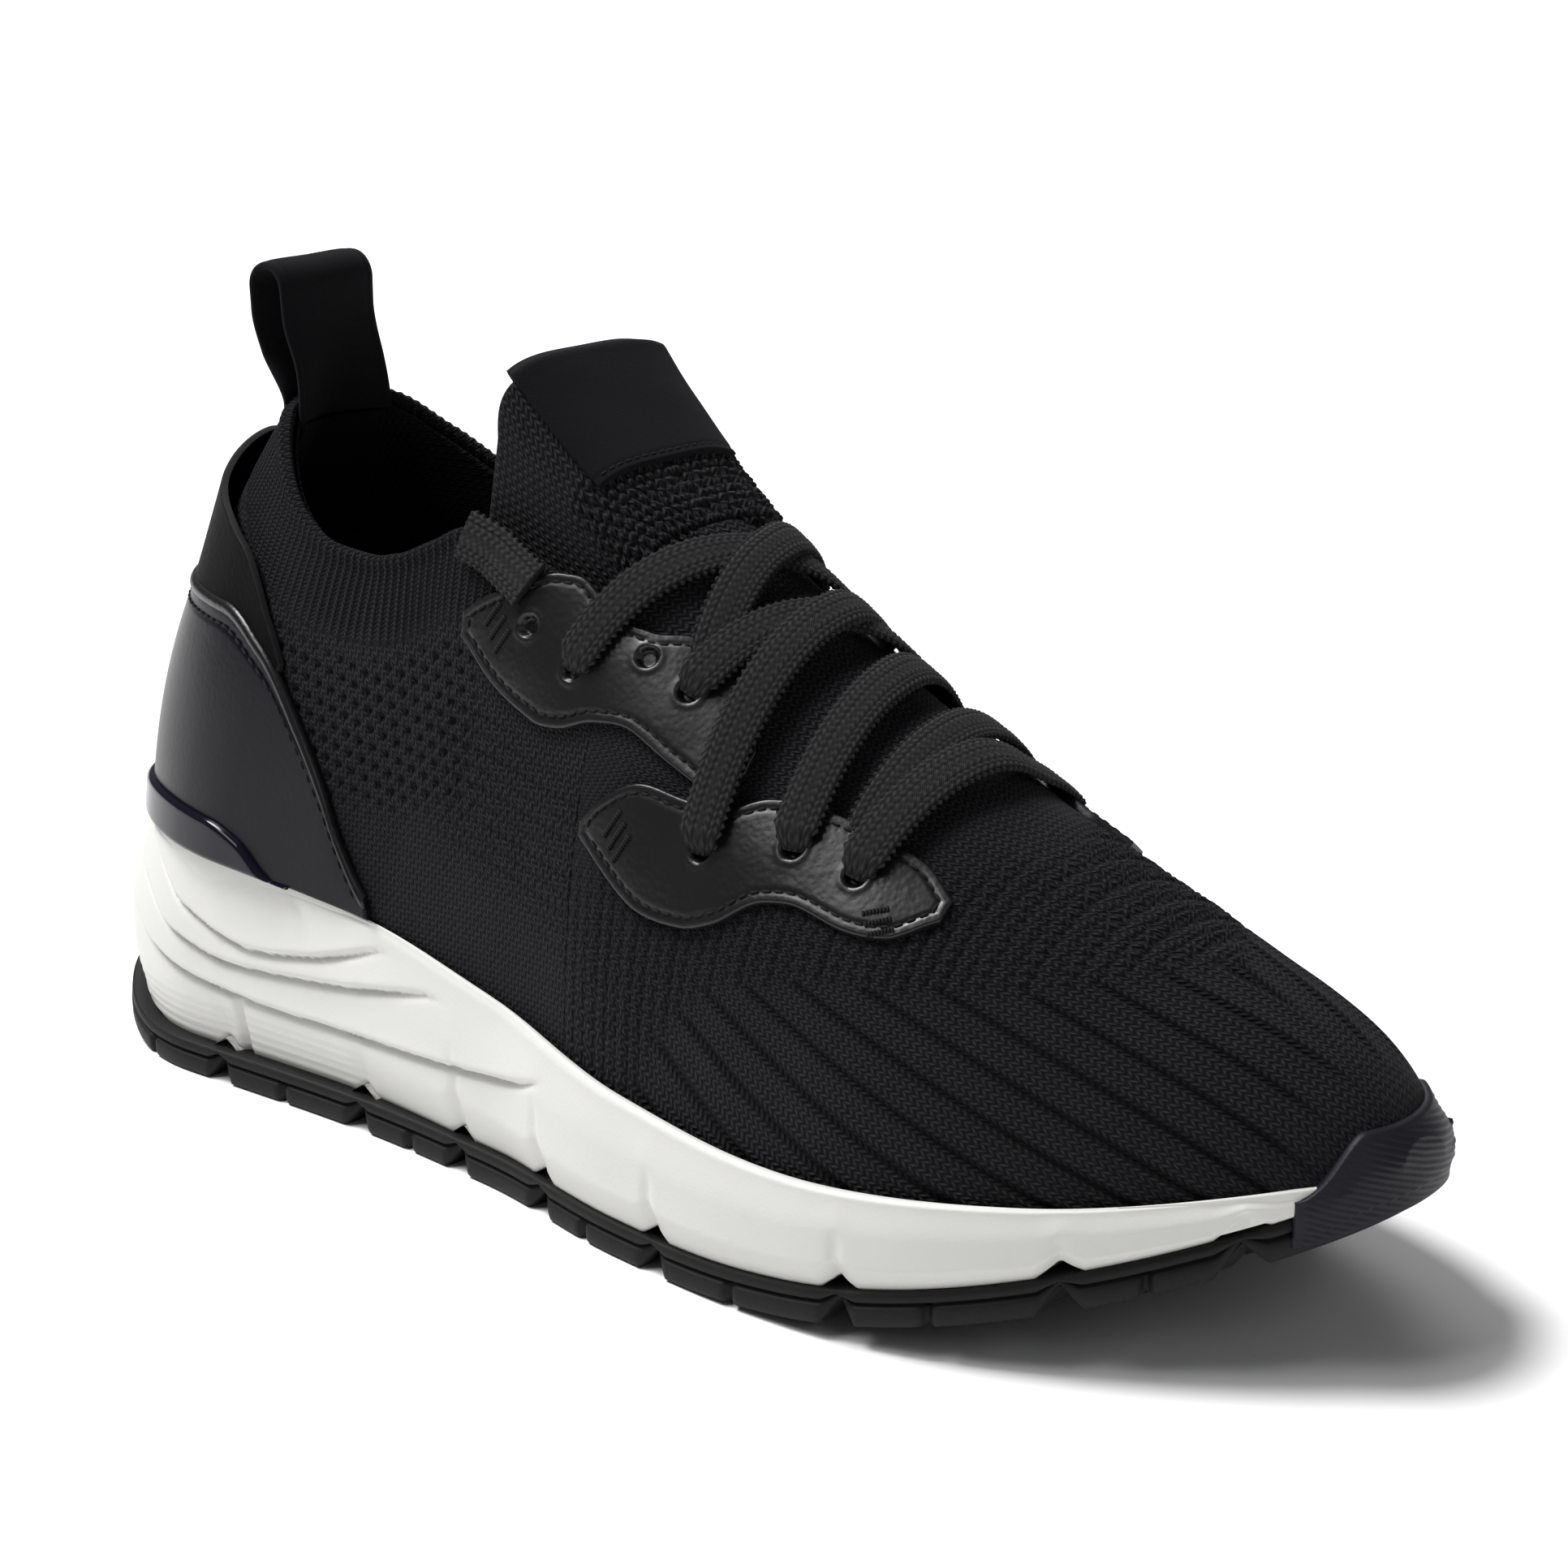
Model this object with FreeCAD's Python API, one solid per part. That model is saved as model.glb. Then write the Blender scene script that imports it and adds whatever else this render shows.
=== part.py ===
import FreeCAD, Part
import math
import os

# A low running shoe for the right foot, in millimetres. +X points to the toe, +Y to the inner
# (medial) side and +Z up. The outer (lateral) side is -Y. Z = 0 is the ground.
os.makedirs("parts", exist_ok=True)
V = FreeCAD.Vector

# Driving dimensions
SHOE_LENGTH = 300.0
HEEL_END = -SHOE_LENGTH / 2
TOE_END = SHOE_LENGTH / 2
BUMPER_THICK = 1.7
BUMPER_GAP = 0.3
SOLE_TOE = TOE_END - BUMPER_THICK - 0.5
OUTSOLE_THICK = 6.5
NOTCH_DEPTH = 4.6
TREAD_DIP = 0.2
NOTCH_HALF = 3.4
FLEX_NOTCHES = (-96, -57, -28, -3, 30, 72, 108, 132)
TOE_SPRING = 28.0
HEEL_BEVEL = 7.0
HEEL_LEAN = 4.6
BOWL_DEPTH = 9.0
BOWL_GAP = 1.7
BOWL_FLOOR = 1.6
SOLE_GAP = 0.12
LIP_WIDTH = 4.0
UPPER_HEEL = -141.0
UPPER_TOE = 148.0
KNIT_THICK = 2.0
STIFFENER_THICK = 1.0
LINING_THICK = 0.8
PATCH_THICK = 1.2
LEATHER_THICK = 1.4
CLIP_THICK = 1.4
BOARD_THICK = 2.0
INSOLE_THICK = 4.5
BOARD_INSET = 0.8
INSOLE_INSET = 2.2
LAYER_GAP = 0.1
LACE_WIDTH = 8.0
LACE_THICK = 1.5
EYELET_RADIUS = 1.9
STRAP_WIDTH = 9.2
STRAP_THICK = 1.5
LOOP_WIDTH = 24.0
LOOP_THICK = 2.0
TONGUE_THICK = 2.2
PAD_THICK = 3.0

# Half widths of the sole at its widest level and the height of the midsole's rim
SOLE_LATERAL = ((-110, 41), (-60, 39.5), (-20, 42), (20, 49.5), (50, 51.8), (80, 50.5),
                (110, 47.5), (150, 41))
SOLE_MEDIAL = ((-110, 41), (-60, 37), (-20, 35), (20, 41), (60, 49), (90, 50), (120, 46.5),
               (150, 42))
RIM = ((-150, 48), (-110, 46.5), (-60, 43), (-20, 36.5), (20, 30), (60, 27), (100, 29), (150, 36))

# The front of the upper is a row of arches: height of the ridge and fullness of each arch
RIDGE = ((-60, 182), (-45, 168), (-28, 148), (-10, 131.5), (20, 111.5), (56, 90), (90, 73), (115, 63),
         (132, 55.5), (142, 48), (147, 40))
FULLNESS = ((-45, 2.4), (-25, 2.7), (0, 2.4), (40, 2.0), (100, 2.0), (147, 2.2))

# The rear of the upper runs from the base line up to the collar line, around the heel
ARC_SHARE = 0.45
THROAT_SHARE = 0.8
HINGE_X = 3.0
BASE_RUN = ((0.45, -84), (0.8, -33), (1, 3))
COLLAR_RUN = ((0.45, -66), (0.8, -33), (1, 3))
COLLAR_HALF = ((0.45, 30), (0.7, 30.5), (0.8, 28), (1, 25.5))
COLLAR_BACK = -103.0
COLLAR_Z = ((-103, 134), (-97, 132.5), (-88, 125), (-77, 117), (-66, 113), (-57, 112.5), (-46, 114),
            (-38, 118), (-33, 121), (-27, 121), (-18, 118), (-8, 113.5), (3, 108.5))
HEEL_BULGE = 9.5
SIDE_BULGE = 3.0


def smooth(points, x):
    """Monotone cubic through (x, value) points, flat beyond the ends."""
    last = len(points) - 1
    if x <= points[0][0]:
        return points[0][1]
    if x >= points[last][0]:
        return points[last][1]
    step = [points[i + 1][0] - points[i][0] for i in range(last)]
    slope = [(points[i + 1][1] - points[i][1]) / step[i] for i in range(last)]

    def tangent(i):
        if i == 0:
            return slope[0]
        if i == last:
            return slope[-1]
        before, after = slope[i - 1], slope[i]
        if before * after <= 0:
            return 0.0
        weight_a = 2 * step[i] + step[i - 1]
        weight_b = step[i] + 2 * step[i - 1]
        return (weight_a + weight_b) / (weight_a / before + weight_b / after)

    i = max(k for k in range(last) if points[k][0] <= x)
    h = step[i]
    t = (x - points[i][0]) / h
    start = (1 + 2 * t) * (1 - t) ** 2 * points[i][1] + t * (1 - t) ** 2 * h * tangent(i)
    end = t * t * (3 - 2 * t) * points[i + 1][1] + t * t * (t - 1) * h * tangent(i + 1)
    return start + end


def ease(t):
    """Smooth step from 0 to 1."""
    t = max(0.0, min(1.0, t))
    return t * t * (3 - 2 * t)


def cap(x, start, end, power):
    """Rounds a width down to nothing between start and end."""
    t = (x - start) / (end - start)
    if t <= 0:
        return 1.0
    return max(0.0, 1 - min(1.0, t) ** power) ** 0.5


def axis_y(x):
    """The centre line, which swings to the inner side at the toe."""
    return 7.5 * ease((x - 60) / 100)


def ground(x):
    """Underside of the tread: flat in the middle, raised at the toe and bevelled at the heel."""
    toe = TOE_SPRING * max(0.0, (x - 29) / 121) ** 2.1
    heel = HEEL_BEVEL * max(0.0, (-118 - x) / 32) ** 1.6
    return toe + heel


def midsole_bottom(x):
    return ground(x) + OUTSOLE_THICK


def rim(x):
    return smooth(RIM, x)


def base_z(x):
    """Floor of the midsole's bowl, where the upper stands; it rises over the tread at the toe."""
    bowl = rim(x) - BOWL_DEPTH
    over_tread = midsole_bottom(x) + BOWL_FLOOR
    return (bowl + over_tread + math.sqrt((bowl - over_tread) ** 2 + 1)) / 2


def heel_lean(x, share):
    """How far the back of the sole leans forward towards the rim, by share of the wall's height."""
    return HEEL_LEAN * ease((-88 - x) / 55) * ease((share - 0.4) / 0.6)


def sole_half(x, side):
    """Half width of the sole, -1 for the lateral side and 1 for the medial side."""
    heel = cap(x, -104, HEEL_END, 2.0)
    if side < 0:
        return smooth(SOLE_LATERAL, x) * heel * cap(x, 62, SOLE_TOE, 1.9)
    return smooth(SOLE_MEDIAL, x) * heel * cap(x, 80, SOLE_TOE, 2.4)


def upper_half(x, side):
    """Half width of the upper where it stands in the midsole's bowl."""
    heel = cap(x, -96, UPPER_HEEL, 2.0)
    if side < 0:
        return (smooth(SOLE_LATERAL, x) - LIP_WIDTH) * heel * cap(x, 60, UPPER_TOE, 2.0)
    return (smooth(SOLE_MEDIAL, x) - LIP_WIDTH) * heel * cap(x, 74, UPPER_TOE, 2.0)


def inner_half(x, side, margin):
    """Half width of a flat layer that lies inside the upper, clear of its rounded ends."""
    shift = 3.0 * ease((x - 60) / 60) - 3.0 * ease((-60 - x) / 50)
    return upper_half(x + shift, side) - KNIT_THICK - margin


def arch_point(x, angle, inset=0.0):
    """Point of the upper's front: x along the shoe, angle 0 (lateral) to 180 (medial)."""
    theta = math.radians(angle)
    side = -1 if math.cos(theta) > 0 else 1
    half = max(0.5, upper_half(x, side) - inset)
    low = base_z(x)
    top = max(low + 1, smooth(RIDGE, x) - inset)
    power = 2 / smooth(FULLNESS, x)
    y = axis_y(x) + side * half * abs(math.cos(theta)) ** power
    z = low + (top - low) * abs(math.sin(theta)) ** power
    shift = inset * max(0.0, (x - 60) / (UPPER_TOE - 60))
    return V(x - shift, y, z)


def arch_normal(x, angle):
    along = arch_point(x + 0.5, angle) - arch_point(x - 0.5, angle)
    across = arch_point(x, angle + 1) - arch_point(x, angle - 1)
    out = along.cross(across)
    out.normalize()
    middle = V(x, axis_y(x), base_z(x) + 8)
    return out if out.dot(arch_point(x, angle) - middle) > 0 else out * -1


def bisect(test, low, high):
    """Value between low and high where test turns from true to false."""
    for _ in range(30):
        middle = (low + high) / 2
        if test(middle):
            low = middle
        else:
            high = middle
    return low


def arch_angle_at_z(x, side, height):
    """Angle, 0 to 90, at which one half of the arch at x reaches a height."""
    return bisect(lambda angle: arch_point(x, angle if side < 0 else 180 - angle).z < height, 0, 90)


def rear_point(u, v):
    """Upper behind the hinge line: u from -1 (lateral front) over 0 (heel) to 1 (medial front)."""
    side = -1 if u < 0 else 1
    share = abs(u)
    turn = math.radians(90 * min(1.0, share / ARC_SHARE))
    if share < ARC_SHARE:
        arc_x = BASE_RUN[0][1]
        base_x = arc_x - (arc_x - UPPER_HEEL) * math.cos(turn)
        collar_arc_x = COLLAR_RUN[0][1]
        collar_x = collar_arc_x - (collar_arc_x - COLLAR_BACK) * math.cos(turn)
        collar_y = COLLAR_HALF[0][1] * math.sin(turn) ** 1.4
    else:
        base_x = smooth(BASE_RUN, share)
        collar_x = smooth(COLLAR_RUN, share)
        collar_y = smooth(COLLAR_HALF, share)
    base = V(base_x, side * upper_half(base_x, side), base_z(base_x))
    collar = V(collar_x, side * collar_y, smooth(COLLAR_Z, collar_x))
    bulge = SIDE_BULGE + (HEEL_BULGE - SIDE_BULGE) * ease(1 - share / ARC_SHARE)
    out = V(-math.cos(turn), side * math.sin(turn), 0)
    wall = base + (collar - base) * v + out * (bulge * math.sin(math.pi * v))
    front = ease((share - 0.55) / (THROAT_SHARE - 0.55))
    if front <= 0:
        return wall
    angle = arch_angle_at_z(base_x, side, collar.z) * v
    arch = arch_point(base_x, angle if side < 0 else 180 - angle)
    return wall * (1 - front) + arch * front


def rear_normal(u, v):
    along = rear_point(min(1, u + 0.004), v) - rear_point(max(-1, u - 0.004), v)
    up = rear_point(u, min(1, v + 0.01)) - rear_point(u, max(0, v - 0.01))
    out = up.cross(along)
    out.normalize()
    return out


def rear_v(u, height):
    """Share v at which the rear wall reaches a height."""
    return bisect(lambda v: rear_point(u, v).z < height, 0, 1)


def sewn(faces):
    """One solid from faces that share their edges."""
    shape = Part.makeCompound(faces)
    shape.sewShape(0.01)
    solid = Part.Solid(shape.Shells[0])
    if solid.Volume < 0:
        solid.reverse()
    return solid


def skin(rows):
    surface = Part.BSplineSurface()
    surface.interpolate(rows)
    return surface


def slab(outer_rows, inner_rows):
    """Solid between two skins through matching rows of points."""
    outer = skin(outer_rows)
    inner = skin(inner_rows)
    u0, u1, v0, v1 = outer.bounds()
    w0, w1, t0, t1 = inner.bounds()
    faces = [outer.toShape(), inner.toShape()]
    for first, second in ((outer.uIso(u0), inner.uIso(w0)), (outer.uIso(u1), inner.uIso(w1)),
                          (outer.vIso(v0), inner.vIso(t0)), (outer.vIso(v1), inner.vIso(t1))):
        faces.append(Part.makeRuledSurface(first.toShape(), second.toShape()))
    return sewn(faces)


def steps(first, last, count):
    return [first + (last - first) * i / count for i in range(count + 1)]


def rear_slab(u0, u1, low, high, outer, inner, rows=28, cols=7):
    """Layer of the rear wall: low(u) and high(u) are shares v, outer and inner are offsets."""
    grids = []
    for offset in (outer, inner):
        grid = []
        for u in steps(u0, u1, rows):
            bottom = low(u)
            top = high(u)
            row = []
            for t in steps(0, 1, cols):
                v = bottom + (top - bottom) * t
                reach = offset(u, t) if callable(offset) else offset
                row.append(rear_point(u, v) + rear_normal(u, v) * reach)
            grid.append(row)
        grids.append(grid)
    return slab(*grids)


def front_slab(x0, x1, low, high, outer, inner, rows=20, cols=8):
    """Layer over the front arches between the angles low(x) and high(x)."""
    grids = []
    for offset in (outer, inner):
        grids.append([[arch_point(x, low(x) + (high(x) - low(x)) * t)
                       + arch_normal(x, low(x) + (high(x) - low(x)) * t) * offset
                       for t in steps(0, 1, cols)] for x in steps(x0, x1, rows)])
    return slab(*grids)


def stations(first, last, count):
    """Places along the shoe, close together near both ends."""
    middle = (first + last) / 2
    return [middle - (last - first) / 2 * math.cos(math.pi * i / count) for i in range(count + 1)]


def plate(half, low, high, first, last, count=30):
    """Solid with level top and bottom lines across: half(x, side), low(x) and high(x)."""
    xs = stations(first, last, count)
    grids = []
    for height in (high, low):
        grids.append([[V(x, axis_y(x) + side * max(0.4, half(x, side)), height(x)) for side in (-1, 1)]
                      for x in xs])
    faces = []
    edges = {}
    for level, grid in enumerate(grids):
        for side in (0, 1):
            curve = Part.BSplineCurve()
            curve.interpolate([row[side] for row in grid])
            edges[level, side] = curve.toShape()
    for first_key, second_key in (((0, 0), (0, 1)), ((1, 0), (1, 1)), ((0, 0), (1, 0)), ((0, 1), (1, 1))):
        faces.append(Part.makeRuledSurface(edges[first_key], edges[second_key]))
    for i in (0, -1):
        loop = [grids[0][i][0], grids[0][i][1], grids[1][i][1], grids[1][i][0], grids[0][i][0]]
        faces.append(Part.Face(Part.makePolygon(loop)))
    return sewn(faces)


def midsole_block():
    """Foam sole with bulging sides, before the bowl is taken out."""
    profile = ((0, 0.955), (0.3, 1), (0.65, 1), (1, 0.977))
    skins = []
    for side in (-1, 1):
        rows = []
        for x in stations(HEEL_END + 0.05, SOLE_TOE - 0.05, 34):
            half = max(0.6, sole_half(x, side))
            rise = rim(x) - midsole_bottom(x)
            rows.append([V(x + heel_lean(x, f), axis_y(x) + side * half * w, midsole_bottom(x) + rise * f)
                         for f, w in profile])
        skins.append(skin(rows))
    lateral, medial = skins
    u0, u1, v0, v1 = lateral.bounds()
    w0, w1, t0, t1 = medial.bounds()
    faces = [lateral.toShape(), medial.toShape()]
    for first, second in ((lateral.vIso(v0), medial.vIso(t0)), (lateral.vIso(v1), medial.vIso(t1)),
                          (lateral.uIso(u0), medial.uIso(w0)), (lateral.uIso(u1), medial.uIso(w1))):
        faces.append(Part.makeRuledSurface(first.toShape(), second.toShape()))
    return sewn(faces)


def prism_y(outline, y0, y1):
    """Prism along Y over an outline given as (x, z) points."""
    points = [V(x, y0, z) for x, z in outline]
    return Part.Face(Part.makePolygon(points + points[:1])).extrude(V(0, y1 - y0, 0))


def spline(points):
    curve = Part.BSplineCurve()
    curve.interpolate(points)
    return curve.toShape()


def ribbon(path, heights, width, thick, count=12):
    """Flat band that follows (x, angle) points over the upper at the given heights above it."""
    last = len(path) - 1
    centres = []
    normals = []
    for place in steps(0, last, count):
        i = min(int(place), last - 1)
        t = place - i
        x, angle = [path[i][k] * (1 - t) + path[i + 1][k] * t for k in (0, 1)]
        out = arch_normal(x, angle)
        centres.append(arch_point(x, angle) + out * (heights[i] * (1 - t) + heights[i + 1] * t))
        normals.append(out)
    wires = []
    for i in range(count + 1):
        along = centres[min(i + 1, count)] - centres[max(i - 1, 0)]
        across = along.cross(normals[i])
        across.normalize()
        out = across.cross(along)
        out.normalize()
        if out.dot(normals[i]) < 0:
            out = out * -1
        corners = [centres[i] + across * (a * width / 2) + out * (b * thick)
                   for a, b in ((-1, 0), (1, 0), (1, 1), (-1, 1))]
        wires.append(Part.makePolygon(corners + corners[:1]))
    return Part.makeLoft(wires, True, True)


def save(name, *solids):
    shape = solids[0] if len(solids) == 1 else Part.makeCompound(solids)
    shape.exportStep("parts/" + name + ".step")
    box = shape.BoundBox
    limits = (box.XMin, box.XMax, box.YMin, box.YMax, box.ZMin, box.ZMax)
    sizes = " ".join(str(round(value, 1)) for value in limits)
    print(name, shape.isValid(), len(shape.Solids), round(shape.Volume), sizes)


def outsole():
    """Rubber tread with flex notches across it and two grooves along it."""
    tread = plate(lambda x, side: TREAD_SHARE * sole_half(x, side), lambda x: midsole_bottom(x) - SOLE_GAP,
                  lambda x: ground(x) - TREAD_DIP, HEEL_END + END_TRIM, SOLE_TOE - END_TRIM)
    tread = tread.cut(Part.makeBox(400, 200, 20, V(-200, -100, -20)))
    for notch_x in FLEX_NOTCHES:
        low = ground(notch_x)
        notch = ((notch_x - NOTCH_HALF, low - 3), (notch_x, low + NOTCH_DEPTH),
                 (notch_x + NOTCH_HALF, low - 3))
        tread = tread.cut(prism_y(notch, -70, 70))
    for groove_y in GROOVES:
        tread = tread.cut(Part.makeBox(GROOVE_END - GROOVE_START, GROOVE_WIDTH, GROOVE_DEPTH + 1,
                                       V(GROOVE_START, groove_y - GROOVE_WIDTH / 2, -1)))
    return tread


def midsole():
    """Foam block with the bowl that the upper stands in."""
    bowl = plate(lambda x, side: upper_half(x, side) + BOWL_GAP, lambda x: rim(x) + 3, base_z,
                 UPPER_HEEL - 0.6, UPPER_TOE - 1)
    return midsole_block().cut(bowl)


def floor_layer(inset, low, high, heel, toe):
    """Flat layer inside the upper between two heights over the bowl's floor."""
    return plate(lambda x, side: inner_half(x, side, inset), lambda x: base_z(x) + high,
                 lambda x: base_z(x) + low, UPPER_HEEL + heel, UPPER_TOE - toe)


# Sole unit
TREAD_SHARE = 0.97
END_TRIM = 0.05
GROOVES = (-16, 16)
GROOVE_WIDTH = 3.0
GROOVE_DEPTH = 2.6
GROOVE_START = -105.0
GROOVE_END = 35.0
save("outsole", outsole())
save("midsole", midsole())
save("strobel_board", floor_layer(BOARD_INSET, SOLE_GAP, BOARD_THICK, 6, 7))
save("insole", floor_layer(INSOLE_INSET, BOARD_THICK + SOLE_GAP, BOARD_THICK + INSOLE_THICK, 8.5, 11))

# Toe bumper: a rubber cap around the front of the sole and the toe
BUMPER_BACK = 130.0
BUMPER_TOP = 43.5
BUMPER_LAP = 4.5
BUMPER_TURN = 78


def bumper_rows(offset):
    """Upright rows of points around the toe, leaning in over the top of the toe."""
    rows = []
    for degrees in steps(-BUMPER_TURN, BUMPER_TURN, 20):
        side = -1 if degrees < 0 else 1
        turn = math.radians(abs(degrees))
        x = BUMPER_BACK + (SOLE_TOE - BUMPER_BACK) * math.cos(turn)
        y = side * sole_half(x, side) * 1.004
        out = V(math.cos(turn), side * math.sin(turn) * 0.8, 0)
        rise = math.cos(turn) ** 0.5
        low = midsole_bottom(x) - BUMPER_LAP
        high = rim(x) + 2 + (BUMPER_TOP - rim(x) - 2) * rise
        row = []
        for t in steps(0, 1, 5):
            height = low + (high - low) * t
            pull = (0.02 + 0.075 * rise) * max(0.0, (height - rim(x) + 1) / 12)
            point = V(x, axis_y(x) + y, height)
            centre = V(BUMPER_BACK - 18, axis_y(BUMPER_BACK), height)
            row.append(point + (centre - point) * pull + out * offset)
        rows.append(row)
    return rows


save("toe_bumper", slab(bumper_rows(BUMPER_GAP + BUMPER_THICK), bumper_rows(BUMPER_GAP)))

# Knitted upper: the forefoot in front of the hinge line and the quarters around the heel
KNIT_FRONT = UPPER_TOE - 3.6


def toe_shell(x0, x1, turn, rows, cols, outer, inner):
    """Layer over the toe between two depths, its rows closer together towards the tip."""
    xs = [x0 + (x1 - x0) * math.sin(math.pi / 2 * i / rows) for i in range(rows + 1)]
    return slab(*[[[arch_point(x, angle, depth) for angle in steps(turn, 180 - turn, cols)] for x in xs]
                  for depth in (outer, inner)])


forefoot = toe_shell(HINGE_X, KNIT_FRONT, 0, 22, 20, 0, KNIT_THICK)
quarters = rear_slab(-1, 1, lambda u: 0, lambda u: 1, 0, -KNIT_THICK, 44, 9)
save("knit_upper", forefoot, quarters)

# Inside the upper
STIFFENER_TOP = 88.0
STIFFENER_SHARE = 0.47
STIFFENER_OUT = -KNIT_THICK - LAYER_GAP
LINING_OUT = STIFFENER_OUT - STIFFENER_THICK - LAYER_GAP
LINING_IN = LINING_OUT - LINING_THICK
LINING_SHARE = 0.78
PATCH_SHARE = 0.17
PATCH_GAP = 0.7
TOE_PUFF_BACK = 112.0
TOE_PUFF_THICK = 0.8
TOE_PUFF_TURN = 16


def stiffener_top_v(u):
    return rear_v(u, STIFFENER_TOP - 30 * (abs(u) / STIFFENER_SHARE) ** 3)


save("heel_stiffener", rear_slab(-STIFFENER_SHARE, STIFFENER_SHARE, lambda u: rear_v(u, base_z(-110) + 4),
                                 stiffener_top_v, STIFFENER_OUT, STIFFENER_OUT - STIFFENER_THICK, 30, 6))
save("heel_lining", rear_slab(-LINING_SHARE, LINING_SHARE, lambda u: 0.13, lambda u: 0.985,
                              LINING_OUT, LINING_IN, 40, 8))
save("heel_lining_patch", rear_slab(-PATCH_SHARE, PATCH_SHARE, lambda u: 0.62 + 2.6 * abs(u) ** 2,
                                    lambda u: 0.98, LINING_IN - PATCH_GAP,
                                    LINING_IN - PATCH_GAP - PATCH_THICK, 12, 6))
save("toe_puff", toe_shell(TOE_PUFF_BACK, UPPER_TOE - 4, TOE_PUFF_TURN, 10, 14, KNIT_THICK + LAYER_GAP,
                           KNIT_THICK + LAYER_GAP + TOE_PUFF_THICK))

# Leather and plastic around the heel
COUNTER_TOP = ((-140, 97), (-104, 97), (-88, 91), (-73, 78), (-64, 67), (-58, 56), (-53, 48), (-50, 45.5))
CLIP_TOP = ((-141, 53), (-110, 56), (-93, 55), (-84, 52), (-78, 47.5), (-75, 45.5))
COUNTER_SHARE = 0.66
CUFF_SHARE = 0.42
CLIP_SHARE = 0.5


def wall_x(u):
    """Place along the shoe at the middle of the rear wall."""
    return rear_point(u, 0.4).x


def counter_top_v(u, lift=0.0):
    return rear_v(u, smooth(COUNTER_TOP, wall_x(u)) + lift)


def clip_top_v(u):
    return rear_v(u, smooth(CLIP_TOP, wall_x(u)))


def rim_v(u):
    return rear_v(u, rim(wall_x(u)) + 0.9)


def cuff_v(u):
    """The cuff is highest behind the heel and slopes down to its two tips."""
    return counter_top_v(u, 2.0 + 22 * (1 - (abs(u) / CUFF_SHARE) ** 1.6))


def cuff_gap(u, t):
    """The cuff's top edge stands off from the knit behind the heel."""
    return 0.3 + 4.2 * t ** 1.4 * (1 - (abs(u) / CUFF_SHARE) ** 1.5)


save("heel_counter", rear_slab(-COUNTER_SHARE, COUNTER_SHARE, rim_v, counter_top_v, 0.05, LEATHER_THICK,
                               44, 7))
save("heel_counter_binding", rear_slab(-COUNTER_SHARE, COUNTER_SHARE, lambda u: counter_top_v(u, -2.6),
                                       counter_top_v, LEATHER_THICK + 0.05, LEATHER_THICK + 0.9, 44, 3))
save("heel_cuff", rear_slab(-CUFF_SHARE, CUFF_SHARE, lambda u: counter_top_v(u, 0.4), cuff_v,
                            lambda u, t: cuff_gap(u, t) + LEATHER_THICK, cuff_gap, 36, 6))
save("heel_clip", rear_slab(-CLIP_SHARE, CLIP_SHARE, rim_v, clip_top_v, LEATHER_THICK + CLIP_THICK,
                            LEATHER_THICK + 0.05, 34, 4))

# Leather eyestays: their lower and upper edges as (x, angle) points
UPPER_LOW = ((-29, 31), (-21, 30), (-10, 32), (-4, 35), (4, 41), (12, 45), (21, 46), (31, 48), (34, 54))
UPPER_HIGH = ((-29, 34), (-19, 44), (-10, 54), (-5, 57), (1, 57), (9, 60), (17, 66), (24, 67), (30, 63),
              (34, 58))
LOWER_LOW = ((5, 27), (18, 26), (30, 29), (37, 33), (45, 40), (52, 43), (60, 44), (68, 47), (75, 55))
LOWER_HIGH = ((5, 29), (9, 34), (17, 41), (25, 44), (32, 47), (40, 54), (47, 58), (56, 61), (68, 63),
              (75, 60))
UPPER_HOLES = ((-3, 44), (19, 57), (-14, 42), (10, 56))
LOWER_HOLES = ((31, 40), (47, 50), (59, 53))
MEDIAL_SHIFT = 3.0


def eyestay(low, high, holes, side):
    """Leather facing on one side, with its punched holes."""
    shift = 0 if side < 0 else MEDIAL_SHIFT

    def turned(angle):
        return angle if side < 0 else 180 - angle

    facing = front_slab(low[0][0] + shift, low[-1][0] + shift, lambda x: turned(smooth(low, x - shift)),
                        lambda x: turned(smooth(high, x - shift)), LEATHER_THICK + 0.1, 0.1, 26, 6)
    for x, angle in holes:
        out = arch_normal(x + shift, turned(angle))
        start = arch_point(x + shift, turned(angle)) - out * 2
        facing = facing.cut(Part.makeCylinder(EYELET_RADIUS, 6, start, out))
    return facing


for side, name in ((-1, "lateral"), (1, "medial")):
    save("eyestay_" + name + "_upper", eyestay(UPPER_LOW, UPPER_HIGH, UPPER_HOLES, side))
    save("eyestay_" + name + "_lower", eyestay(LOWER_LOW, LOWER_HIGH, LOWER_HOLES, side))
    strap = ((-15, 47), (-24, 45), (-31, 42.5)) if side < 0 else ((-13, 133), (-22, 135), (-30, 137.5))
    strap_heights = (LEATHER_THICK + 0.8, 0.5, 0.9)
    save("webbing_strap_" + name, ribbon(strap, strap_heights, STRAP_WIDTH, STRAP_THICK))

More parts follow.
